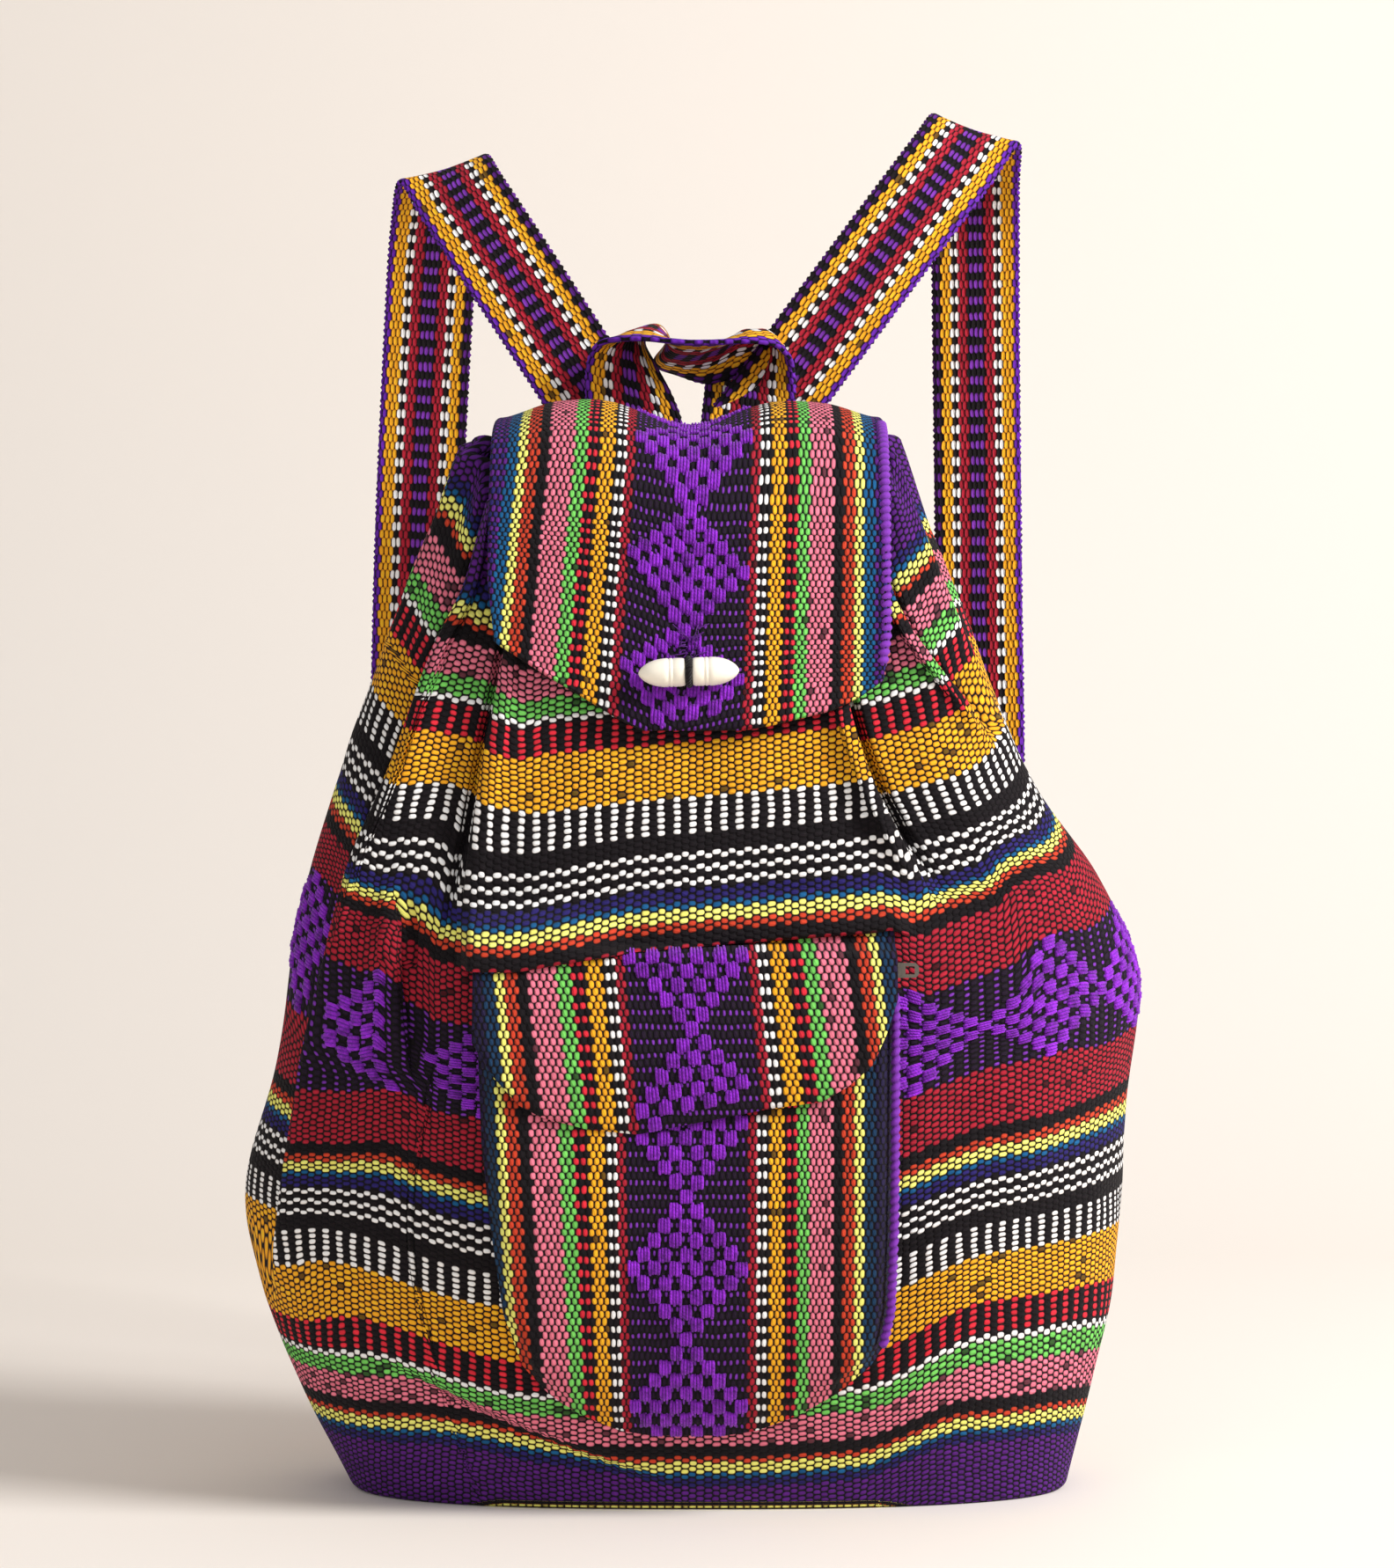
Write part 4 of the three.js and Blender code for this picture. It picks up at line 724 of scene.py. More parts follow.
def sack_layout(heights):
    """Cloth run, offset, band step and strip of every grid point: rows of heights by columns."""
    flat, place, hidden, bulge, deep = PLEAT_COLUMNS.T
    order = np.arange(len(flat))
    under = smooth((order - 4) / 7)
    strip = np.where(order < 5, 0, np.where(order > 10, 1, -1))
    open_strip = np.where(order < 7, 0, 1)
    count = len(PLEATS)
    rows = []
    for height in heights:
        width, zip_width = (float(side_half(1, z) + side_half(-1, z)) for z in (height, ZIP_HEIGHT))
        scale = width / zip_width
        edges = [p.edge(height) for p in PLEATS]
        on = [p.active(height) for p in PLEATS]
        steps = [p.step * a for p, a in zip(PLEATS, on)]
        base = [sum(steps[k:CENTRE]) if k <= CENTRE else sum(steps[CENTRE:k]) for k in range(count + 1)]
        cloth, out, step, segment = [], [], [], []
        for k, span in enumerate(SPANS):
            lower = edges[k - 1] + PLEAT_REACH if k else -ROUND / 2
            upper = edges[k] - PLEAT_REACH if k < count else ROUND / 2
            between = np.linspace(lower, upper, span + 1)
            between = between[(1 if k else 0):(-1 if k < count else None)]
            cloth.append(between)
            out.append(np.zeros(len(between)))
            step.append(np.full(len(between), base[k]))
            segment.append(np.full(len(between), k))
            if k == count:
                break
            pleat, a = PLEATS[k], on[k]
            inner, outer = (k, k + 1) if pleat.side > 0 else (k + 1, k)
            turn = slice(None, None, pleat.side)
            beyond = mix(flat, (place + hidden * pleat.hidden) / scale, a)
            offset = a * (pleat.bulge * bulge - (pleat.bulge + pleat.drop) * deep)
            here = strip if a > 0.02 else open_strip
            cloth.append(edges[k] + pleat.side * beyond[turn])
            out.append(offset[turn])
            step.append(mix(base[inner], base[outer], under)[turn])
            segment.append(np.where(here == 0, inner, np.where(here == 1, outer, -1))[turn])
        cloth, out = np.concatenate(cloth), np.concatenate(out)
        for k, pleat in enumerate(PLEATS):
            beyond = (cloth - edges[k]) * pleat.side
            swell = pleat.bulge * smooth(1 + beyond * scale / 18) * (beyond <= -PLEAT_END)
            tuck = -pleat.drop * fades(beyond * scale, PLEAT_REACH, pleat.run) * (beyond >= PLEAT_END)
            out = out + on[k] * (swell + tuck)
        rows.append((cloth, out, np.concatenate(step), np.concatenate(segment)))
    return [np.array(values) for values in zip(*rows)]


def belly_sag(cloth, height):
    """Hidden cloth above a point and the push of the overhanging belly there."""
    line = np.interp(cloth, BELLY[:, 0], BELLY[:, 1])
    amount = np.interp(cloth, BELLY[:, 0], BELLY[:, 2])
    above = height - line
    push = 3.2 * smooth(above / 3.5) * fades(above, 4, 26) - 2 * smooth(1 + above / 16) * (above < 0)
    return amount * fades(above, -1.2, 3.2), push * amount / 8


def draped(cloth, tall, deep, out):
    """Places on the sack with its gathers, small waves and the frill of its mouth."""
    aside = np.abs(cloth)
    behind_pocket = fades(aside, 78, 16) * fades(tall, 222, 14)
    ripple = waves(cloth, tall, (1.3, 34, 46, 0, 3), (0.7, 15, 22, 0, 5))
    ripple = ripple * (grows(tall, 12, 40) * (1 - behind_pocket))
    frill = grows(tall, 338, 39) * grows(aside, 88, 20)
    out = out + gather_offset(cloth, tall)
    out = out + ripple * (1 - 0.7 * fades(aside, 70, 20) * grows(tall, 285, 20))
    out = out + 2.2 * frill * np.sin(cloth / 4.1 + 1.5 * np.sin(cloth / 17))
    points = sack_points(cloth, tall, deep, out)
    points[..., 2] += 1.6 * frill * np.sin(cloth / 6.3 + 2)
    return points


def sack_rings():
    """Heights and insets of the rings up the outside, over the mouth and down inside, and the foot's rows."""
    turn = np.linspace(0, math.pi / 2, 9)[:-1]
    foot = np.linspace(BASE_TURN, STRIPE_ROWS, 7)
    hem_foot = MOUTH - HEM_DEPTH
    side = np.linspace(STRIPE_ROWS, hem_foot, 141)
    wall = np.concatenate([foot[:-1], side, np.linspace(hem_foot, MOUTH, 11)[1:]])
    lip = np.linspace(0, math.pi, 7)[1:]
    parts = [
        (BASE_TURN - BASE_TURN * np.cos(turn), BASE_TURN - BASE_TURN * np.sin(turn)),
        (wall, 0),
        (MOUTH + 2 * np.sin(lip), 4 - 4 * np.cos(lip)),
        (np.linspace(MOUTH, hem_foot, 6)[1:], 8),
        ([hem_foot - 1], 6.5),
        (np.linspace(hem_foot - 1, BASE_EDGE, 30), SACK_CLOTH),
        ([5, 2.6], [4.5, BASE_EDGE]),
    ]
    heights = np.concatenate([height for height, _ in parts])
    insets = np.concatenate([np.broadcast_to(inset, np.shape(height)) for height, inset in parts])
    return heights, insets, len(turn) + len(foot)


def cloth_runs(points, heights, cloth, segment):
    """Run of the cloth along each ring, counted in each strip from a pinned place."""
    along = np.linalg.norm(np.diff(points, axis=1), axis=2)
    arcs = np.concatenate([np.zeros((len(heights), 1)), np.cumsum(along, axis=1)], 1)
    runs = np.empty_like(arcs)
    for run, arc, strip, place, height in zip(runs, arcs, segment, cloth, heights):
        edges = [p.edge(height) for p in PLEATS]
        pins = [edges[0] - 25, *((a + b) / 2 for a, b in zip(edges, edges[1:])), edges[-1] + 25]
        pins[CENTRE] = 0
        for k, pin in enumerate(pins):
            here = strip == k
            run[here] = pin + arc[here] - np.interp(pin, place[here], arc[here])
        for k in [*range(CENTRE, len(PLEATS)), *range(CENTRE - 1, -1, -1)]:
            near, far = np.flatnonzero(strip == k)[-1], np.flatnonzero(strip == k + 1)[0]
            jump = run[far] - run[near] - (arc[far] - arc[near])
            jump = jump * (1 - float(smooth(PLEATS[k].active(height) / 0.35)))
            if k >= CENTRE:
                run[strip > k] -= jump
            else:
                run[(strip <= k) & (strip >= 0)] += jump
        seen = strip >= 0
        run[~seen] = np.interp(arc[~seen], arc[seen], run[seen])
    return runs


def sack_surface():
    heights, insets, foot_rows = sack_rings()
    cloth, out, step, segment = sack_layout(heights)
    tall, deep = heights[:, None], insets[:, None]
    hidden, push = belly_sag(cloth, tall)
    points = draped(cloth, tall, deep, out + push * (deep < 1))
    run = cloth_runs(points, heights, cloth, segment)
    place = band_place(tall - (band_rise(cloth, tall) + step)) - hidden
    low = slice(0, foot_rows)
    shown = tall[low] + STRIPE_ROWS * grows(np.abs(cloth[low]), 80, 40)
    stripe = straight([(0, STRIPE_BLACK), (0.5, STRIPE_BLACK), (0.6, STRIPE_YELLOW), (1.7, STRIPE_YELLOW),
                       (1.9, STRIPE_BLACK), (3.2, STRIPE_BLACK)], shown)
    place[low] = np.where(shown < 3.4, stripe, place[low])
    return heights, points, run, place, segment


heights, sack_grid, sack_run, sack_place, sack_segment = sack_surface()


# Rows that rise up the outside of the sack, below its hem
RISING_ROWS = 150


def wall_row(height):
    """First row of the sack's outer wall at or above a height."""
    return int(np.searchsorted(heights[:RISING_ROWS], height))


def sack_piece():
    base, floor = sack_grid[0], sack_grid[-1]
    base_centre = np.array([*base[:, :2].mean(0), 0])
    floor_centre = np.array([*floor[:, :2].mean(0), floor[0, 2]])
    under = np.array([mix(base_centre, base, k) for k in (0.02, 0.2, 0.4, 0.6, 0.8, 0.93, 0.985)])
    inside = np.array([mix(floor_centre, floor, k) for k in (0.8, 0.5, 0.2, 0.02)])
    whole = np.concatenate([under, sack_grid, inside])
    under_uv, inside_uv = (ring[..., :2] - [0, 240] for ring in (under, inside))
    uv = np.concatenate([under_uv, stacked(sack_run, sack_place), inside_uv])
    return make_piece("sack_cloth", whole, grid_faces(*whole.shape[:2]), uv, sack_weave, "bag", ["sack"],
                      "sack_weave")


sack = sack_piece()


# Brocade


def brocade_centres(length_from, length_to, phase, row=5.35, pitch=8.3):
    """Centres (along, across) of the pads of a chain of diamonds, one to six pads wide."""
    first = math.floor((length_from - phase) / row)
    last = math.ceil((length_to - phase) / row)
    centres = []
    for k in range(first, last + 1):
        count = 1 + min(k % 10, 10 - k % 10)
        centres += [(phase + k * row, (i - (count - 1) / 2) * pitch) for i in range(count)]
    return centres


STRANDS = 4
STRAND_A = np.array([-1, -0.93, -0.6, 0, 0.6, 0.93, 1])[:, None]
STRAND_B = np.array([-1, -0.5, 0.5, 1])
STRAND_RISE = np.array([-0.5, 0.45, 0.85, 1, 0.85, 0.45, -0.5])[:, None] + np.array([-0.75, 0, 0, -0.75])


def brocade_pads(centres, locate, along=6.0, across=4.4, height=1.2, seed=1):
    """Raised floats of four strands each; locate gives the place and normal at (along, across)."""
    shake = np.random.RandomState(seed)
    size = STRAND_RISE.shape
    faces = np.concatenate([grid_faces(*size, k * STRAND_RISE.size) for k in range(STRANDS)])
    parts = []
    for number, (u, v) in enumerate(centres):
        u, v = u + shake.uniform(-0.3, 0.3), v + shake.uniform(-0.25, 0.25)
        a, b, rise, uv = [], [], [], []
        for strand in range(STRANDS):
            long, slip, level = shake.uniform(0.86, 1.1), shake.uniform(-0.35, 0.35), shake.uniform(0.75, 1.1)
            bow = 0.12 * (1.5 - strand) * (1 - STRAND_A ** 2)
            lift = level if strand in (1, 2) else 0.82 * level
            a.append(np.broadcast_to(u + slip + STRAND_A * long * along / 2, size))
            b.append(v + (strand - 1.5) * across / 4 - bow + STRAND_B * across / 7)
            rise.append(STRAND_RISE * lift * height)
            uv.append(stacked(STRAND_A * along / 2 + PAD_STEP * number, strand + 0.5 + 0.3 * STRAND_B))
        found = locate(np.ravel(a), np.ravel(b))
        if found is None:
            continue
        point, normal = found
        parts.append((point + normal * np.ravel(rise)[:, None], faces, np.reshape(uv, (-1, 2))))
    return joined(parts)


def sack_locator(first, last):
    """Place and normal on rows of the sack from its cloth coordinates, or nothing inside a fold."""
    layers = (sack_grid, normals_of(sack_grid), sack_run, sack_place, sack_segment)
    grid, normals, run, place, segment = (values[first:last] for values in layers)
    normals = facing_front(normals)

    def locate(u, v):
        r, n = np.arange(len(run))[:, None], np.arange(len(u))
        spots = np.array([np.interp(u, line, np.arange(run.shape[1])) for line in run])
        low = np.clip(spots.astype(int), 0, run.shape[1] - 2)
        t = spots - low
        across = mix(place[r, low], place[r, low + 1], t)
        near = np.abs(across - v).argmin(0)
        if (segment[near, low[near, n]] == -1).any():
            return None
        k = np.clip((across < v).sum(0) - 1, 0, len(run) - 2)
        s = (v - across[k, n]) / np.maximum(across[k + 1, n] - across[k, n], 1e-6)
        if (s < -0.5).any() or (s > 1.5).any():
            return None
        wide = (mix(values[r, low], values[r, low + 1], t[..., None]) for values in (grid, normals))
        return [mix(values[k, n], values[k + 1, n], s[:, None]) for values in wide]

    return locate


def grid_locator(grid, run, across):
    """Place and normal on a patch from its own cloth coordinates."""
    normals = facing_front(normals_of(grid))
    line = run[:, run.shape[1] // 2]
    order = slice(None) if line[-1] > line[0] else slice(None, None, -1)

    def locate(u, v):
        spot = np.interp(u, line[order], np.arange(len(line))[order])
        k = np.clip(spot.astype(int), 0, len(line) - 2)
        s = (spot - k)[:, None]

        def row(r):
            column = np.array([np.interp(x, across[i], np.arange(across.shape[1])) for i, x in zip(r, v)])
            c = np.clip(column.astype(int), 0, across.shape[1] - 2)
            t = (column - c)[:, None]
            return [mix(values[r, c], values[r, c + 1], t) for values in (grid, normals)]

        return [mix(low, high, s) for low, high in zip(row(k), row(k + 1))]

    return locate


SACK_ROW = 5.5
SACK_PITCH = 7.6
# Heights that the brocade of the sack lies between, and one narrow row of its right chain
BROCADE_LOW = 100
BROCADE_HIGH = 245
RIGHT_DIAMOND = 112


def sack_brocade():
    crease = LEFT_CREASE.edge(195)
    chains = [(-ROUND / 2 + 8, crease - 5, crease - 8 - 5 * SACK_ROW), (crease + 3, -75, crease + 6),
              (73, ROUND / 2 - 8, RIGHT_DIAMOND)]
    centres = []
    for low, high, phase in chains:
        centres += [c for c in brocade_centres(low, high, phase, SACK_ROW, SACK_PITCH) if low < c[0] < high]
    locate = sack_locator(wall_row(BROCADE_LOW), wall_row(BROCADE_HIGH))
    pads = brocade_pads(centres, locate, along=5.9, across=4.2, seed=11)
    make_piece("sack_brocade", *pads, brocade_yarn, "bag", slot="sack_weave")


sack_brocade()


# Drawstring in the hem

STRING_INSETS = (2.8, 5.2)
STRING_HEIGHTS = (357.5, 370.5)


def drawstring():
    (near, far), (low, high) = STRING_INSETS, STRING_HEIGHTS
    rows = []
    for inset, height in ((near, high), (near, low), (far, low), (far, high), (near, high)):
        cloth, out, _, _ = sack_layout(np.array([height]))
        rows.append(draped(cloth, height, inset, out)[0][::2])
    rows = np.array(rows)
    uv = stacked(np.linspace(0, 600, rows.shape[1]), np.array([0, 13, 16, 29, 32.0])[:, None])
    make_piece("drawstring_band", rows, grid_faces(*rows.shape[:2]), uv, band_weave, "bag", ["drawstring"],
               "band_weave")


drawstring()


# Main flap

FLAP_HALF = 78
FLAP_BOW = 5
FLAP_TIP, FLAP_TOP, FLAP_SEAM = MOUTH - 82, MOUTH_BACK + 17, MOUTH_BACK - 31
# Half width at each distance from the tip
FLAP_LEFT = [(0, 18), (4, 26), (8, 32), (22, 54), (36, 74), (60, 77), (300, 78)]
FLAP_RIGHT = [(0, 22), (1, 28), (8, 54), (14, 65), (21, 74), (40, 76.5), (300, 78)]
# Slope of the rows of the weave at each distance from the tip
FLAP_ROWS_LEFT = [(0, 0.55), (18, 0.55), (36, 0.48), (69, 0.42), (95, 0.2), (114, 0.1), (140, 0)]
FLAP_ROWS_RIGHT = [(0, 0.28), (18, 0.24), (36, 0.05), (60, 0), (140, 0)]


def sack_cloud():
    """Points of the solid sack, which the flap rests on."""
    edges = np.array([fold[0] for fold in FRONT_FOLDS])
    folds = np.mod(np.concatenate([edges, edges + 8 * np.sign(edges)]), ROUND)
    cloth = np.unique(np.concatenate([np.arange(64) * ROUND / 64, folds]))
    cloth = np.where(cloth > ROUND / 2, cloth - ROUND, cloth)
    tall = np.append(np.arange(BASE_EDGE, MOUTH + 1, 5), MOUTH)[:, None]
    out = fold_offset(cloth, tall) + gather_offset(cloth, tall)
    return sack_points(cloth + 0 * tall, tall, 0, out).reshape(-1, 3)


CLOUD = sack_cloud()


def rest_depth(z, facing):
    x, y, level = CLOUD.T
    near = (np.abs(level - z) < 6) & (np.abs(x) < FLAP_HALF + 4) & (y * facing > 0)
    return facing * (np.max(y[near] * facing + FLAP_BOW * (x[near] / FLAP_HALF) ** 2) + 0.6)


flap_back = max(rest_depth(MOUTH_BACK - 2, 1), rest_depth(FLAP_SEAM, 1))


def flap_section():
    """Depth and height of the flap's middle line from its tip over the mouth to its seam."""
    line = [(rest_depth(z, -1), z) for z in np.linspace(FLAP_TIP, MOUTH, 5)]
    front = line[-1][0]
    line += [(mix(front, flap_back, 0.22), mix(MOUTH, FLAP_TOP, 0.68)),
             (mix(front, flap_back, 0.5), mix(MOUTH, FLAP_TOP, 0.95)),
             (mix(front, flap_back, 0.78), FLAP_TOP),
             (mix(front, flap_back, 0.98), mix(MOUTH_BACK, FLAP_TOP, 0.45)),
             (flap_back, mix(FLAP_SEAM, MOUTH_BACK, 0.6)), (flap_back, FLAP_SEAM)]
    return curve_points(line, np.linspace(0, 1, 801))


FLAP_CURVE = flap_section()
FLAP_RUN = run_along(FLAP_CURVE)
FLAP_TANGENT = np.gradient(FLAP_CURVE, FLAP_RUN, axis=0)
FLAP_LENGTH = FLAP_RUN[-1]
# Distances from the tip between which the crest over the mouth begins and ends
CREST_BEGIN = FLAP_RUN[320], FLAP_RUN[500]
CREST_END = FLAP_RUN[560], FLAP_RUN[660]
# The weave is drawn out where the flap turns over the mouth
CREST_RUN = [-60, 85, 130, FLAP_LENGTH]
CREST_WEAVE = [-60, 85, 112, FLAP_LENGTH - 18]
TOGGLE_RISE = 20
TOGGLE_RUN = float(np.interp(FLAP_TIP + TOGGLE_RISE, FLAP_CURVE[:400, 1], FLAP_RUN[:400]))
# Round the toggle the flap lies flat, and its waves come back over a short stretch
FLAT_REACH = 17
FLAT_BLEND = 12
# Place along the weave of one narrow row of its diamonds
FLAP_DIAMOND = 38.5
BUTTONHOLE_HALF = 4
BUTTONHOLE_FROM = 18
BUTTONHOLE_TO = 36
FLAP_HEM_FROM = 26
FLAP_HEM_TO = 150
FLAP_HEM_INSET = 1.4
FLAP_HEM_LAYER = 2.0
FLAP_HEM_RADIUS = 2.1


def flap_points(run, x, out):
    """Places on the flap's inner face: distance from the tip, distance across, layer out."""
    lines = (*FLAP_TANGENT.T, *FLAP_CURVE.T)
    ty, tz, y, z = (np.interp(run, FLAP_RUN, values) for values in lines)
    away = out - FLAP_BOW * (x / FLAP_HALF) ** 2
    begin, end = ((run - first) / (last - first) for first, last in (CREST_BEGIN, CREST_END))
    crest = smooth(begin) * (1 - smooth(end))
    dip = crest * (11.5 * np.exp(-(x / 24) ** 2) + 4 * grows(np.abs(x), 52, 26))
    return np.stack([x, y - tz * away, z + ty * away - dip], -1)


def flap_edge(run, side):
    """Half width of the flap at a distance from its tip."""
    return straight(FLAP_LEFT if side < 0 else FLAP_RIGHT, run)


def flap_rise(run, x):
    """How much higher the rows of the weave stand than at the middle, which the toggle draws down."""
    reach = np.minimum(np.abs(x), 24) + 0.5 * np.maximum(np.abs(x) - 24, 0)
    return np.where(x < 0, straight(FLAP_ROWS_LEFT, run), straight(FLAP_ROWS_RIGHT, run)) * reach


def flap_distance(u, v):
    """Distance from the flap's tip of a place in the weave."""
    run = u
    for _ in range(5):
        run = np.interp(u + flap_rise(run, v), CREST_WEAVE, CREST_RUN)
    return run


def on_flap(u, v):
    """Whether a pad fits on the flap there, clear of its edges and of the buttonhole."""
    run = float(flap_distance(u, v))
    at_buttonhole = abs(v) < BUTTONHOLE_HALF and BUTTONHOLE_FROM < run < BUTTONHOLE_TO
    return 5 < run < FLAP_LENGTH - 8 and abs(v) < float(flap_edge(run, v)) - 7 and not at_buttonhole


def edge_columns(count):
    """Shares from -1 to 1 across a patch, closer together at its edges."""
    t = np.linspace(-1, 1, count)
    return (np.sign(t) * (1 - (1 - np.abs(t)) ** 1.25))[None, :]


def spread(x, left, right):
    """Shift of the stripes that lie further out than their count of threads, on the left and on the right."""
    return left * grows(-x, 25, 45) - right * grows(x, 25, 45)


def flap_pieces():
    run = np.concatenate([np.linspace(0, 40, 24)[:-1], np.linspace(40, FLAP_LENGTH, 90)])[:, None]
    share = edge_columns(82)
    x = share * np.where(share < 0, flap_edge(run, -1), flap_edge(run, 1))
    wave = waves(x, run, (0.9, 40, 45, 3, 8), (0.5, 17, 24, 0, 9))
    wave = wave * grows(np.hypot(x, run - TOGGLE_RUN), FLAT_REACH, FLAT_BLEND)
    near_edge = grows(np.abs(share), 0.93, 0.07)
    rounded = 0.9 * grows(np.abs(share), 0.985, 0.015)
    thick = PATCH_CLOTH + 0.5 * near_edge - rounded - 0.7 * (1 - smooth(run / 5))
    back = SEWN_GAP + wave * 0.7 + fades(run, 30, 120) * near_edge * 0.6
    outer, inner = (flap_points(run + 0 * x, x, layer) for layer in (thick + back, back))
    lean = mix(-8.5, -2, (x + FLAP_HALF) / (2 * FLAP_HALF))
    stripe = x - lean * (1 - np.minimum(1, run / 115)) + lean * 0.35 + spread(x, 3.5, 1.5)
    uv = stacked(np.interp(run, CREST_RUN, CREST_WEAVE) - flap_rise(run, stripe), stripe)
    cloth = make_piece("main_flap_cloth", *sheet_parts(outer, inner, uv), patch_weave, "bag", ["main_flap"],
                       "flap_weave")
    place = grid_locator(outer, run, stripe)
    centres = [c for c in brocade_centres(-16, FLAP_LENGTH, FLAP_DIAMOND, 4.75) if on_flap(*c)]
    pads = brocade_pads(centres, lambda u, v: place(flap_distance(u, v), v), along=6.5, across=4.6, seed=21)
    return cloth, make_piece("flap_brocade", *pads, brocade_yarn, "bag", slot="flap_weave")


main_flap, flap_brocade = flap_pieces()


def rolled_hem(line, radius, turns=12):
    """An edge overcast with slanting stitches along a line of points."""
    run = run_along(line)
    fine = np.linspace(0, run[-1], int(run[-1] / 0.4))
    line = stacked(*(np.interp(fine, run, line[:, k]) for k in range(3)))
    run = run_along(line)
    angle = np.linspace(0, 2 * math.pi, turns + 1)
    index = np.arange(len(line))
    ends = np.minimum(1, np.minimum(index, index[::-1]) / 3 + 0.15)
    stitch = np.abs(np.sin(run[:, None] * math.pi / HEM_STITCH + angle / 2))
    ring = rings(line, np.array([0, 1.0, 0.0]), angle, radius * ends[:, None] * (0.72 + 0.42 * stitch))
    return ring, grid_faces(len(line), turns + 1), stacked(run[:, None], angle * HEM_RADIUS)


hem_run = np.linspace(FLAP_HEM_FROM, FLAP_HEM_TO, 90)
hem_line = flap_points(hem_run, flap_edge(hem_run, 1) - FLAP_HEM_INSET, FLAP_HEM_LAYER)
flap_hem = make_piece("flap_hem", *rolled_hem(hem_line, FLAP_HEM_RADIUS), hem_yarn, "bag", slot="flap_weave")


# Pocket panel

ZIP_DEPTH = float(front_face(0, ZIP_HEIGHT)) - 4.6
PANEL_TOP = ZIP_HEIGHT - 6
POCKET_BOTTOM = 31
POCKET_PUFF = 12
# Height of the closer rows at the foot of the panel
POCKET_FOOT = 8
POCKET_HEM_FOOT, POCKET_HEM_TOP = 66, 198
# Half width at each height
LEFT_EDGE = [(31, 14), (33, 26), (39.5, 41), (47, 52), (58, 62), (78, 69), (110, 73.5), (142, 77),
             (200, 79.5)]
RIGHT_EDGE = [(31, 14), (33, 26), (39.5, 42), (47, 55), (58, 68), (66, 73), (80, 76), (110, 77), (200, 78)]


def pocket_crest(z):
    """Depth of the panel's inner face along its middle."""
    full = mix(POCKET_BOTTOM, PANEL_TOP, 0.55)
    puffs = [(POCKET_BOTTOM, 0.35), (mix(POCKET_BOTTOM, PANEL_TOP, 0.2), 0.8), (full, 1),
             (mix(full, PANEL_TOP, 0.55), 0.85)]
    stations = [(height, float(front_face(0, height)) - POCKET_PUFF * share) for height, share in puffs]
    return profile([*stations, (PANEL_TOP, ZIP_DEPTH - MOVING_GAP - SEWN_GAP)], z)


def pocket_half(z, side):
    return np.where(side < 0, straight(LEFT_EDGE, z), straight(RIGHT_EDGE, z))


def pocket_foot(x):
    left, right = ([(half, z) for z, half in edge] for edge in (LEFT_EDGE, RIGHT_EDGE))
    return np.where(x < 0, straight(left, np.abs(x)), straight(right, np.abs(x)))


def pocket_inner(x, z):
    side = smooth((pocket_half(z, x) - np.abs(x)) / 7)
    bottom = grows(z, pocket_foot(x), 9)
    return mix(front_face(x, z) - SEWN_GAP, pocket_crest(z), np.minimum(side, bottom))


# Place along the weave of one narrow row of the panel's diamonds
POCKET_DIAMOND = 123.7


def pocket_pieces():
    foot = POCKET_BOTTOM + POCKET_FOOT * np.linspace(0, 1, 9)[:-1] ** 1.5
    z = np.concatenate([foot, np.linspace(POCKET_BOTTOM + POCKET_FOOT, PANEL_TOP, 76)])[:, None]
    share = edge_columns(84)
    x = share * pocket_half(z, share)
    wave = np.maximum(waves(x, z, (1.1, 36, 42, 7, 12), (0.6, 16, 20, 0, 13)), -0.4)
    wave = wave * smooth((pocket_half(z, x) - np.abs(x)) / 16) * grows(z, 34, 20) * fades(z, 150, 20)
    depth = pocket_inner(x, z) - wave * 0.9
    fallen = (PANEL_TOP - z) / 170
    stripe = x - 7 * fallen * smooth(-x / 76 + 0.15) + 1.2 + spread(x, 6, 0)
    outer, inner = (stacked(x, depth - layer, z) for layer in (PATCH_CLOTH, 0))
    parts = sheet_parts(outer, inner, stacked(z, stripe))
    make_piece("pocket_cloth", *parts, pocket_weave, "bag", ["pocket_panel"], "flap_weave")
    centres = [c for c in brocade_centres(38, 150, POCKET_DIAMOND)
               if abs(c[1]) < float(pocket_half(c[0], 1)) - 8]
    pads = brocade_pads(centres, grid_locator(outer, z, stripe), seed=31)
    make_piece("pocket_brocade", *pads, brocade_yarn, "bag", slot="flap_weave")
    hem_z = np.linspace(POCKET_HEM_FOOT, POCKET_HEM_TOP, 100)
    hem_x = pocket_half(hem_z, 1) - 1.2
    hem_y = pocket_inner(hem_x - 3, hem_z) - PATCH_CLOTH - 0.2
    hem = rolled_hem(stacked(hem_x, hem_y, hem_z), HEM_RADIUS)
    make_piece("pocket_hem", *hem, hem_yarn, "bag", slot="flap_weave")


pocket_pieces()


# Pocket flap over the zip

OVER_ZIP = ZIP_HEIGHT + 4.8 + MOVING_GAP
OVER_DEPTH = ZIP_DEPTH - 9
LID_SEAM = ZIP_HEIGHT + 10
LID_BOTTOM = 146
LID_LEFT = 79.5
LID_RIGHT = 77
# Height up to which the flap's rows fan out to its foot
LID_FAN = 200
LID_DIAMOND = 185
LID_BROCADE_FOOT = 155
# Foot of the pocket flap: place across, height
LID_FOOT = [(-79.5, 180), (-71, 167), (-62, 157), (-54, 152.8), (-38, 148.5), (-19, 146.5), (30, 156),
            (49, 158.5), (59, 164.5), (67.5, 172), (73, 184), (77, 196)]


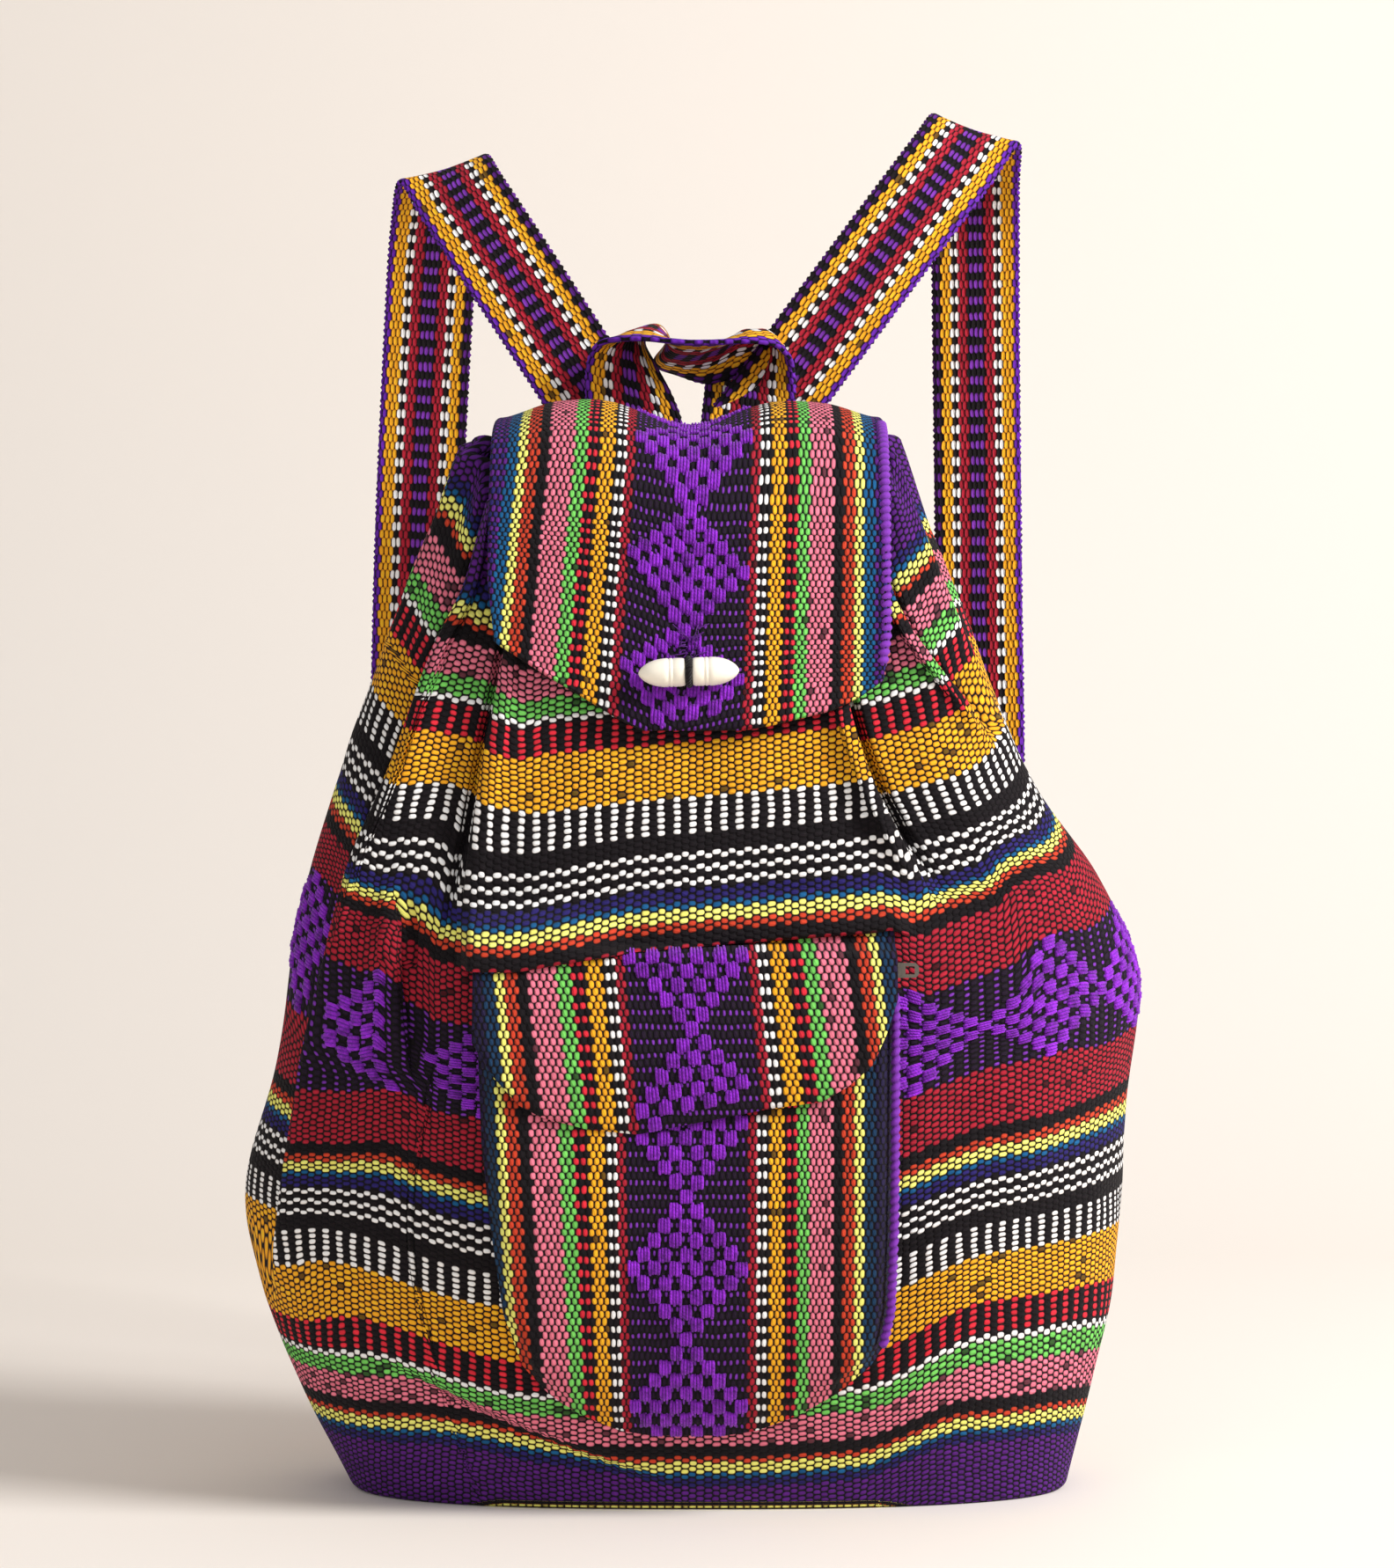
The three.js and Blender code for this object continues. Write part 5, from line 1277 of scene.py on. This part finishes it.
def lid_inner(x, z):
    """Depth of the pocket flap's inner face."""
    resting = float(pocket_crest(LID_BOTTOM)) - PATCH_CLOTH - SEWN_GAP
    middle = (mix(LID_BOTTOM, OVER_ZIP, 0.45), min(resting, OVER_DEPTH) - 1)
    stations = [(LID_BOTTOM, resting), middle, (OVER_ZIP, OVER_DEPTH)]
    above = mix(OVER_DEPTH, front_face(x, z) - SEWN_GAP, grows(z, OVER_ZIP, LID_SEAM - OVER_ZIP))
    return np.where(z <= OVER_ZIP, profile(stations, z), above)


def lid_pieces():
    share = edge_columns(96)
    x = share * np.where(share < 0, LID_LEFT, LID_RIGHT)
    rows = np.concatenate([np.linspace(LID_FAN, OVER_ZIP, 8)[:-1], np.linspace(OVER_ZIP, LID_SEAM, 12)[:-1],
                           np.linspace(LID_SEAM, LID_SEAM + 6, 5)])[:, None]
    foot = straight(LID_FOOT, x)
    fan = mix(foot, LID_FAN, np.linspace(0, 1, 30)[:-1, None])
    z = np.concatenate([fan, rows + 0 * x])
    wave = np.maximum(waves(x, z, (0.8, 38, 40, 5, 15), (0.5, 16, 19, 0, 16)), -0.2) * fades(z, 196, 12)
    rim = np.maximum(grows(np.abs(share), 0.975, 0.025), fades(z, foot, 2.4))
    depth = lid_inner(x, z) - wave
    stripe = x - 6.5 * (222 - z) / 72 + 2 + spread(x, 5.5, 6)
    outer, inner = (stacked(x, depth - layer, z) for layer in (PATCH_CLOTH - 0.8 * rim, 0))
    parts = sheet_parts(outer, inner, stacked(z, stripe))
    cloth = make_piece("pocket_flap_cloth", *parts, pocket_weave, "bag", ["pocket_flap"], "flap_weave")
    centres = [c for c in brocade_centres(LID_BROCADE_FOOT, 209, LID_DIAMOND)
               if c[0] > LID_BROCADE_FOOT + c[1] * 0.2]
    pads = brocade_pads(centres, grid_locator(outer, z, stripe), seed=41)
    return cloth, make_piece("pocket_flap_brocade", *pads, brocade_yarn, "bag", slot="flap_weave")


pocket_flap, lid_brocade = lid_pieces()


# The sack sags over the upper edge of the pocket flap, down to a line of its bands

LIP_BAND = 41.7
LIP_LOW = 194
LIP_TOP = 236
LIP_GAP = 3.5
LIP_CLOTH = 1.8
LIP_LEFT = -87
LIP_RIGHT = 84


def sack_fold():
    x = np.linspace(LIP_LEFT, LIP_RIGHT, 132)[None, :]

    def weave(z):
        return band_place(z - band_rise(cloth_at(x, z), z))

    levels = np.linspace(LIP_LOW, LIP_TOP, 160)[:, None] + 0 * x
    lip = np.array([[np.interp(LIP_BAND, bands, level) for bands, level in zip(weave(levels).T, levels.T)]])
    z = mix(lip, LIP_TOP, np.linspace(0, 1, 30)[:, None] ** 0.9)
    follow = lid_inner(x, z) - LIP_GAP
    hang = grows(z, OVER_ZIP, LIP_TOP - OVER_ZIP)
    belly = mix(lid_inner(x, OVER_ZIP) - LIP_GAP, front_face(x, LIP_TOP), hang)
    over = np.where(z < OVER_ZIP, follow, mix(follow, belly, smooth((OVER_ZIP + 2 - lip) / 5)))
    held = fades(z, 222, 14) * fades(-x, 80.5, 6) * fades(x, 78, 6)
    depth = mix(front_face(x, z) + 1.5, over, held)
    row = wall_row(225)
    middle = sack_segment[row] == CENTRE
    run = np.interp(x, sack_grid[row, middle, 0], sack_run[row, middle])
    thick = LIP_CLOTH * smooth((z - lip) / 2.5 + 0.35)
    outer, inner = (stacked(x, depth - layer, z) for layer in (thick, 0))
    parts = sheet_parts(outer, inner, stacked(run, weave(z)))
    make_piece("sack_fold", *parts, sack_weave, "bag", slot="sack_weave")


sack_fold()


# Shoulder straps and hanging loop

BAND_HALF = 19
# Columns of a band as shares of its half width, closer together at its edges
BAND_SHARES = [0.2, 0.4, 0.6, 0.8, 0.88, 0.94, 0.97, 1]
BAND_ACROSS = np.array([*(-share for share in BAND_SHARES[::-1]), 0, *BAND_SHARES])
BAND_RIM = 0.45 + 0.65 * np.minimum(1, (1 - np.abs(BAND_ACROSS)) / 0.05) ** 0.5
BAND_EDGE = np.abs(BAND_ACROSS) > 0.98
# Pitch of the small bumps that the weft makes along a band's edges
WEFT_TURN = 2.3
BAND_LAYER = 1.2
LOOP_DEPTH = flap_back + PATCH_CLOTH + SEWN_GAP + BAND_LAYER
STRAP_SEAM = FLAP_SEAM + 12
STRAP_LAYER = 2.8
STRAP_FOOT_X = 96
STRAP_FOOT_Z = 15


def band_piece(name, path, widths, nodes, flip=1, steps=1100):
    """Woven band along a path, its flat face turned by the width directions given."""
    shares = np.linspace(0, 1, steps)
    centre = curve_points(path, shares)
    tangent = unit(np.gradient(centre, axis=0))
    across = curve_points(widths, shares, 0)
    across = unit(across - tangent * (across * tangent).sum(1, keepdims=True))
    normal = np.cross(tangent, across)
    run = run_along(centre)[:, None]
    rim = BAND_RIM - 0.1 * smooth((0.9 - np.abs(BAND_ACROSS)) / 0.06)
    wave = 0.25 * lattice_noise(run / 30, BAND_ACROSS[None, :] * 1.5 + 4, 33)
    half = BAND_ACROSS * (BAND_HALF + 0.45 * np.sin(run * WEFT_TURN) * BAND_EDGE)
    flat = centre[:, None] + across[:, None] * half[..., None]
    front, back = (flat + normal[:, None] * (side * 1.15 * rim + wave)[..., None] for side in (1, -1))
    uv = stacked(run, flip * BAND_ACROSS * BAND_HALF + BAND_HALF)
    return make_piece(name, *sheet_parts(front, back, uv), band_weave, "bag", nodes, "band_weave")


def shoulder_strap(name, side, seam_x, top_x, rise, layer, node, flip):
    """A strap from its seam behind the flap up over the shoulder and down to its foot at the base."""
    depth = LOOP_DEPTH + layer * STRAP_LAYER
    top = STRAP_SEAM + rise
    direction = np.array([top_x - seam_x, rise]) / math.hypot(top_x - seam_x, rise)
    foot_x, foot_z = side * STRAP_FOOT_X, STRAP_FOOT_Z
    slope = float(back_face(foot_x + 5, foot_z) - back_face(foot_x - 5, foot_z)) / 10
    offsets = np.array([-1, -0.5, 0, 0.5, 1]) * BAND_HALF
    out_x = mix(top_x, side * 130, 0.6)

    def rising(share, back):
        return mix(seam_x, top_x, share), depth + back, mix(STRAP_SEAM, top, share)

    def hanging(share, x, back):
        return x, depth + back, mix(foot_z, top, share)

    def sewn(z, away):
        seat = float(np.max(back_face(foot_x + offsets, z) - slope * offsets))
        return foot_x, seat + SEWN_GAP + BAND_LAYER + away, z

    path = [
        rising(0, 0), rising(0.3, 2), rising(0.65, 8), rising(0.9, 20), rising(1, 36),
        hanging(0.965, mix(top_x, out_x, 0.35), 62), hanging(0.85, mix(top_x, out_x, 0.7), 82),
        hanging(0.65, out_x, 88), hanging(0.45, out_x, 80), hanging(0.26, mix(out_x, foot_x, 0.3), 48.4),
        hanging(0.12, mix(out_x, foot_x, 0.75), 17.6), sewn(41, 4), sewn(28, 0.5), sewn(foot_z, 0),
    ]
    flat = np.array([direction[1], 0, -direction[0]])
    level, foot = np.array([1.0, 0, 0]), np.array([1, slope, 0])
    widths = [flat] * 4 + [mix(flat, level, 0.5)] * 2
    widths += [mix(level, foot, float(grows(k, 7, 3))) for k in range(6, len(path))]
    return band_piece(name, path, widths, [node], flip)


shoulder_strap("left_strap", -1, seam_x=-12, top_x=-104, rise=142, layer=1, node="strap_left", flip=1)
shoulder_strap("right_strap", 1, seam_x=4, top_x=121, rise=159, layer=2, node="strap_right", flip=-1)

# Edges of the hanging loop from leg to leg: the outer one level at the front, the inner one curled behind it
LOOP_OUTER = [
    (-42.3, 0, 386), (-42.5, 0, 418), (-43, -1, 437), (-42.2, -6, 448.5), (-38, -12, 455), (-28, -17, 456.2),
    (-18, -19, 456), (-9, -20, 455.4), (0, -20, 455), (9, -20, 455), (18, -19, 455), (27, -18, 454.8),
    (35.5, -14, 453.8), (39.5, -8, 451.5), (42.5, -2, 448), (43.6, 0, 440), (43.6, 0, 428), (43, 0, 408),
    (42.3, 0, 386),
]
LOOP_INNER = [
    (-4.5, 0, 386), (-3.5, 0, 410), (-3, 0.5, 424), (-7, 2, 435), (-14, 8, 448), (-19, 18, 460),
    (-13, 21, 466), (-9, 21, 460), (-14.5, 16, 450), (-5, 15, 445.5), (6, 12, 441.5), (15, 10, 442.5),
    (22, 12, 446), (25, 20, 455), (18, 27, 460), (8, 20, 448), (6, 10, 436), (4.4, 2, 418), (4.5, 0, 386),
]
LOOP_CROWN = [0, 0, 0, 0, 1, 3, 2, 0, 0, 1, 6, 11, 11, 7, 3, 0, 0, 0, 0]


def hanging_loop():
    """Woven band spanned between its two edge lines and crowned between them."""
    shares = np.linspace(0, 1, 380)
    first, second = (curve_points(edge, shares) + [0, LOOP_DEPTH, 0] for edge in (LOOP_OUTER, LOOP_INNER))
    middle = (first + second) / 2
    run = run_along(middle)[:, None]
    share = (BAND_ACROSS[None, :, None] + 1) / 2
    bead = (1 + 0.012 * np.sin(run * WEFT_TURN) * BAND_EDGE)[..., None]
    grid = middle[:, None] + (mix(first[:, None], second[:, None], share) - middle[:, None]) * bead
    crown = np.interp(shares, np.linspace(0, 1, len(LOOP_CROWN)), LOOP_CROWN)
    grid[..., 2] += crown[:, None] * (1 - BAND_ACROSS ** 2)
    normal = normals_of(grid)
    front, back = (grid + normal * (side * 1.1 * BAND_RIM)[:, None] for side in (1, -1))
    uv = stacked(run, (BAND_ACROSS + 1) * BAND_HALF)
    parts = sheet_parts(front, back, uv)
    make_piece("hang_loop_band", *parts, band_weave, "bag", ["hang_loop"], "band_weave")


hanging_loop()


# Zip, shown as the frame has it

metal = plain_material("zip_metal", "metal", roughness=0.45, metallic=0.6, scale=900.0)
tape = plain_material("zip_tape", "tape", roughness=0.9, scale=1500.0, depth=0.0002)
METAL_NODES = ("teeth_upper", "teeth_lower", "stop_upper", "stop_lower", "stop_end", "slider", "pull")
for material, nodes in ((metal, METAL_NODES), (tape, ("tape_upper", "tape_lower"))):
    for node in nodes:
        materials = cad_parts[f"zip_{node}"].data.materials
        materials.clear()
        materials.append(material)


# Toggle and its cord

TOGGLE_TILT = math.radians(2)
TOGGLE_SEAT = 5.7
# Half of the toggle's turned outline from its waist: radius, distance along
TOGGLE_HALF = [
    (3.2, 0), (3.2, 1.3), (4.7, 1.35), (5.15, 1.7), (5.35, 2.6), (5.45, 5.5), (5.2, 5.8), (5.2, 6),
    (5.45, 6.3), (5.45, 7.1), (5.2, 7.4), (5.2, 7.6), (5.45, 7.9), (5.4, 9.5), (5.15, 11.5), (4.7, 13.3),
    (4.05, 15), (3.15, 16.6), (2.15, 17.8), (1.15, 18.6), (0.45, 18.95), (0.02, 19),
]
CORD_RADIUS = 1.3
CORD_RING = TOGGLE_HALF[0][0] + MOVING_GAP + CORD_RADIUS
KNOT_RADIUS = 3
# The knot lies against the inner face of the sack
KNOT_DEPTH = 15.3
FOOT_LAYERS = np.array([PATCH_CLOTH, PATCH_CLOTH + 1])
toggle_foot, above_foot = flap_points(np.full(2, TOGGLE_RUN), np.zeros(2), FOOT_LAYERS)
outward = above_foot - toggle_foot
toggle_centre = toggle_foot + outward * (TOGGLE_SEAT + SEWN_GAP)
level_along = np.array([1.0, 0, 0])
level_up = np.cross(outward, level_along)
toggle_along = math.cos(TOGGLE_TILT) * level_along + math.sin(TOGGLE_TILT) * level_up
toggle_up = math.cos(TOGGLE_TILT) * level_up - math.sin(TOGGLE_TILT) * level_along


def on_toggle(along, out, up):
    """Places from the toggle's middle: along it, out from the flap and up."""
    parts = stacked(along, out, up)
    return toggle_centre + parts @ np.array([toggle_along, outward, toggle_up])


def toggle_pieces():
    turn = np.linspace(0, 2 * math.pi, 41)
    lathe = np.array([(r, -a) for r, a in TOGGLE_HALF[::-1]] + TOGGLE_HALF[1:])
    radius, along = lathe[:, :1], lathe[:, 1:]
    grid = on_toggle(along, radius * np.cos(turn), radius * np.sin(turn))
    horn = plain_material("toggle_horn", "horn", roughness=0.34, spread=0.14, depth=0.00002)
    uv = stacked(along, turn * 5)
    make_piece("toggle_horn_piece", grid, grid_faces(*grid.shape[:2]), uv, horn, "toggle", ["toggle"],
               "toggle_horn")
    ring = on_toggle(0.25 * np.sin(2 * turn), CORD_RING * np.cos(turn), CORD_RING * np.sin(turn))
    shank = on_toggle(0.0, np.linspace(-4.4, -KNOT_DEPTH, 20), 0.0)
    share = np.linspace(-1, 1, 13)
    knot = on_toggle(0.0, KNOT_RADIUS * share - (KNOT_DEPTH + KNOT_RADIUS), 0.0)
    knot_size = np.maximum(0.1, KNOT_RADIUS * np.sqrt(1 - (share * 0.999) ** 2))
    parts = [tube(ring, CORD_RADIUS), tube(shank, CORD_RADIUS), tube(knot, knot_size)]
    cord = yarn_material("toggle_cord", "black", lines=2.4, slant=6)
    make_piece("toggle_cord_piece", *joined(parts), cord, "toggle", ["toggle_cord"], "dark_cord")


toggle_pieces()


def buttonhole_threads(count=26):
    """Frayed threads of the buttonhole."""
    shake = np.random.RandomState(5)
    t = np.linspace(0, 1, 9)
    threads = []
    for _ in range(count):
        start = TOGGLE_RUN + shake.uniform(3, 15)
        side = shake.choice([-1, 1])
        x0 = side * shake.uniform(0.6, 2.4)
        reach = shake.uniform(3, 9)
        x = x0 + side * reach * 0.5 * t ** 1.5 * shake.uniform(0.2, 1.4)
        x = x + 0.8 * np.sin(t * shake.uniform(3, 8))
        run = start + reach * t * shake.uniform(-0.4, 1)
        out = 3 + 1.7 * np.sin(t * math.pi * shake.uniform(0.5, 1))
        threads.append(tube(flap_points(run, x, out), 0.22, 5))
    return make_piece("buttonhole_threads", *joined(threads), thread_yarn, "bag", slot="flap_weave")


buttonhole = buttonhole_threads()


# Stage, light and camera, in metres

SWEEP_START = 0.7
SWEEP_RADIUS = 0.8
TARGET = (0, 0, 0.25)
SKY_LIGHT = 0.44
CAMERA_PLACE = (0.0031, -1.45, 0.275)
CAMERA_LENS = 84.36
CAMERA_SENSOR = 36


def linked(name, data):
    obj = bpy.data.objects.new(name, data)
    bpy.context.scene.collection.objects.link(obj)
    return obj


def backdrop():
    """Pale paper that sweeps up behind the bag."""
    turns = np.linspace(0.1, math.pi / 2, 14)
    line = [(-3.0, 0.0), (SWEEP_START, 0.0)]
    for turn in turns:
        y = SWEEP_START + SWEEP_RADIUS * math.sin(turn)
        line.append((y, SWEEP_RADIUS - SWEEP_RADIUS * math.cos(turn)))
    line += [(SWEEP_START + SWEEP_RADIUS, 4.0)]
    mesh = bpy.data.meshes.new("backdrop")
    mesh.from_pydata([(x, y, z) for y, z in line for x in (-4.0, 4.0)], [], grid_faces(len(line), 2).tolist())
    mesh.materials.append(Shader("backdrop_paper").finish(colour("paper"), 0.95, Specular_IOR_Level=0.1))
    mesh.polygons.foreach_set("use_smooth", np.ones(len(mesh.polygons), bool))
    linked("backdrop", mesh)


def area_light(name, place, size, power):
    light = bpy.data.lights.new(name, "AREA")
    light.shape = "DISK"
    light.size = size
    light.energy = power
    lamp = linked(name, light)
    lamp.location = place
    x, y, z = np.array(TARGET) - np.array(place)
    lamp.rotation_euler = (math.atan2(math.hypot(x, y), -z), 0, math.atan2(y, x) - math.pi / 2)


backdrop()
area_light("key", (1.8, -0.85, 1.5), size=0.8, power=66)
area_light("fill", (-1.2, -1.9, 0.9), size=1.6, power=7)
world = bpy.data.worlds.new("studio")
bpy.context.scene.world = world
world.use_nodes = True
world.node_tree.nodes["Background"].inputs[0].default_value = (1, 1, 1, 1)
world.node_tree.nodes["Background"].inputs[1].default_value = SKY_LIGHT

camera = linked("camera", bpy.data.cameras.new("camera"))
camera.data.lens = CAMERA_LENS
camera.data.sensor_width = CAMERA_SENSOR
camera.location = CAMERA_PLACE
camera.rotation_euler = (math.pi / 2, 0, 0)
bpy.context.scene.camera = camera
bpy.context.scene.view_settings.view_transform = "Standard"
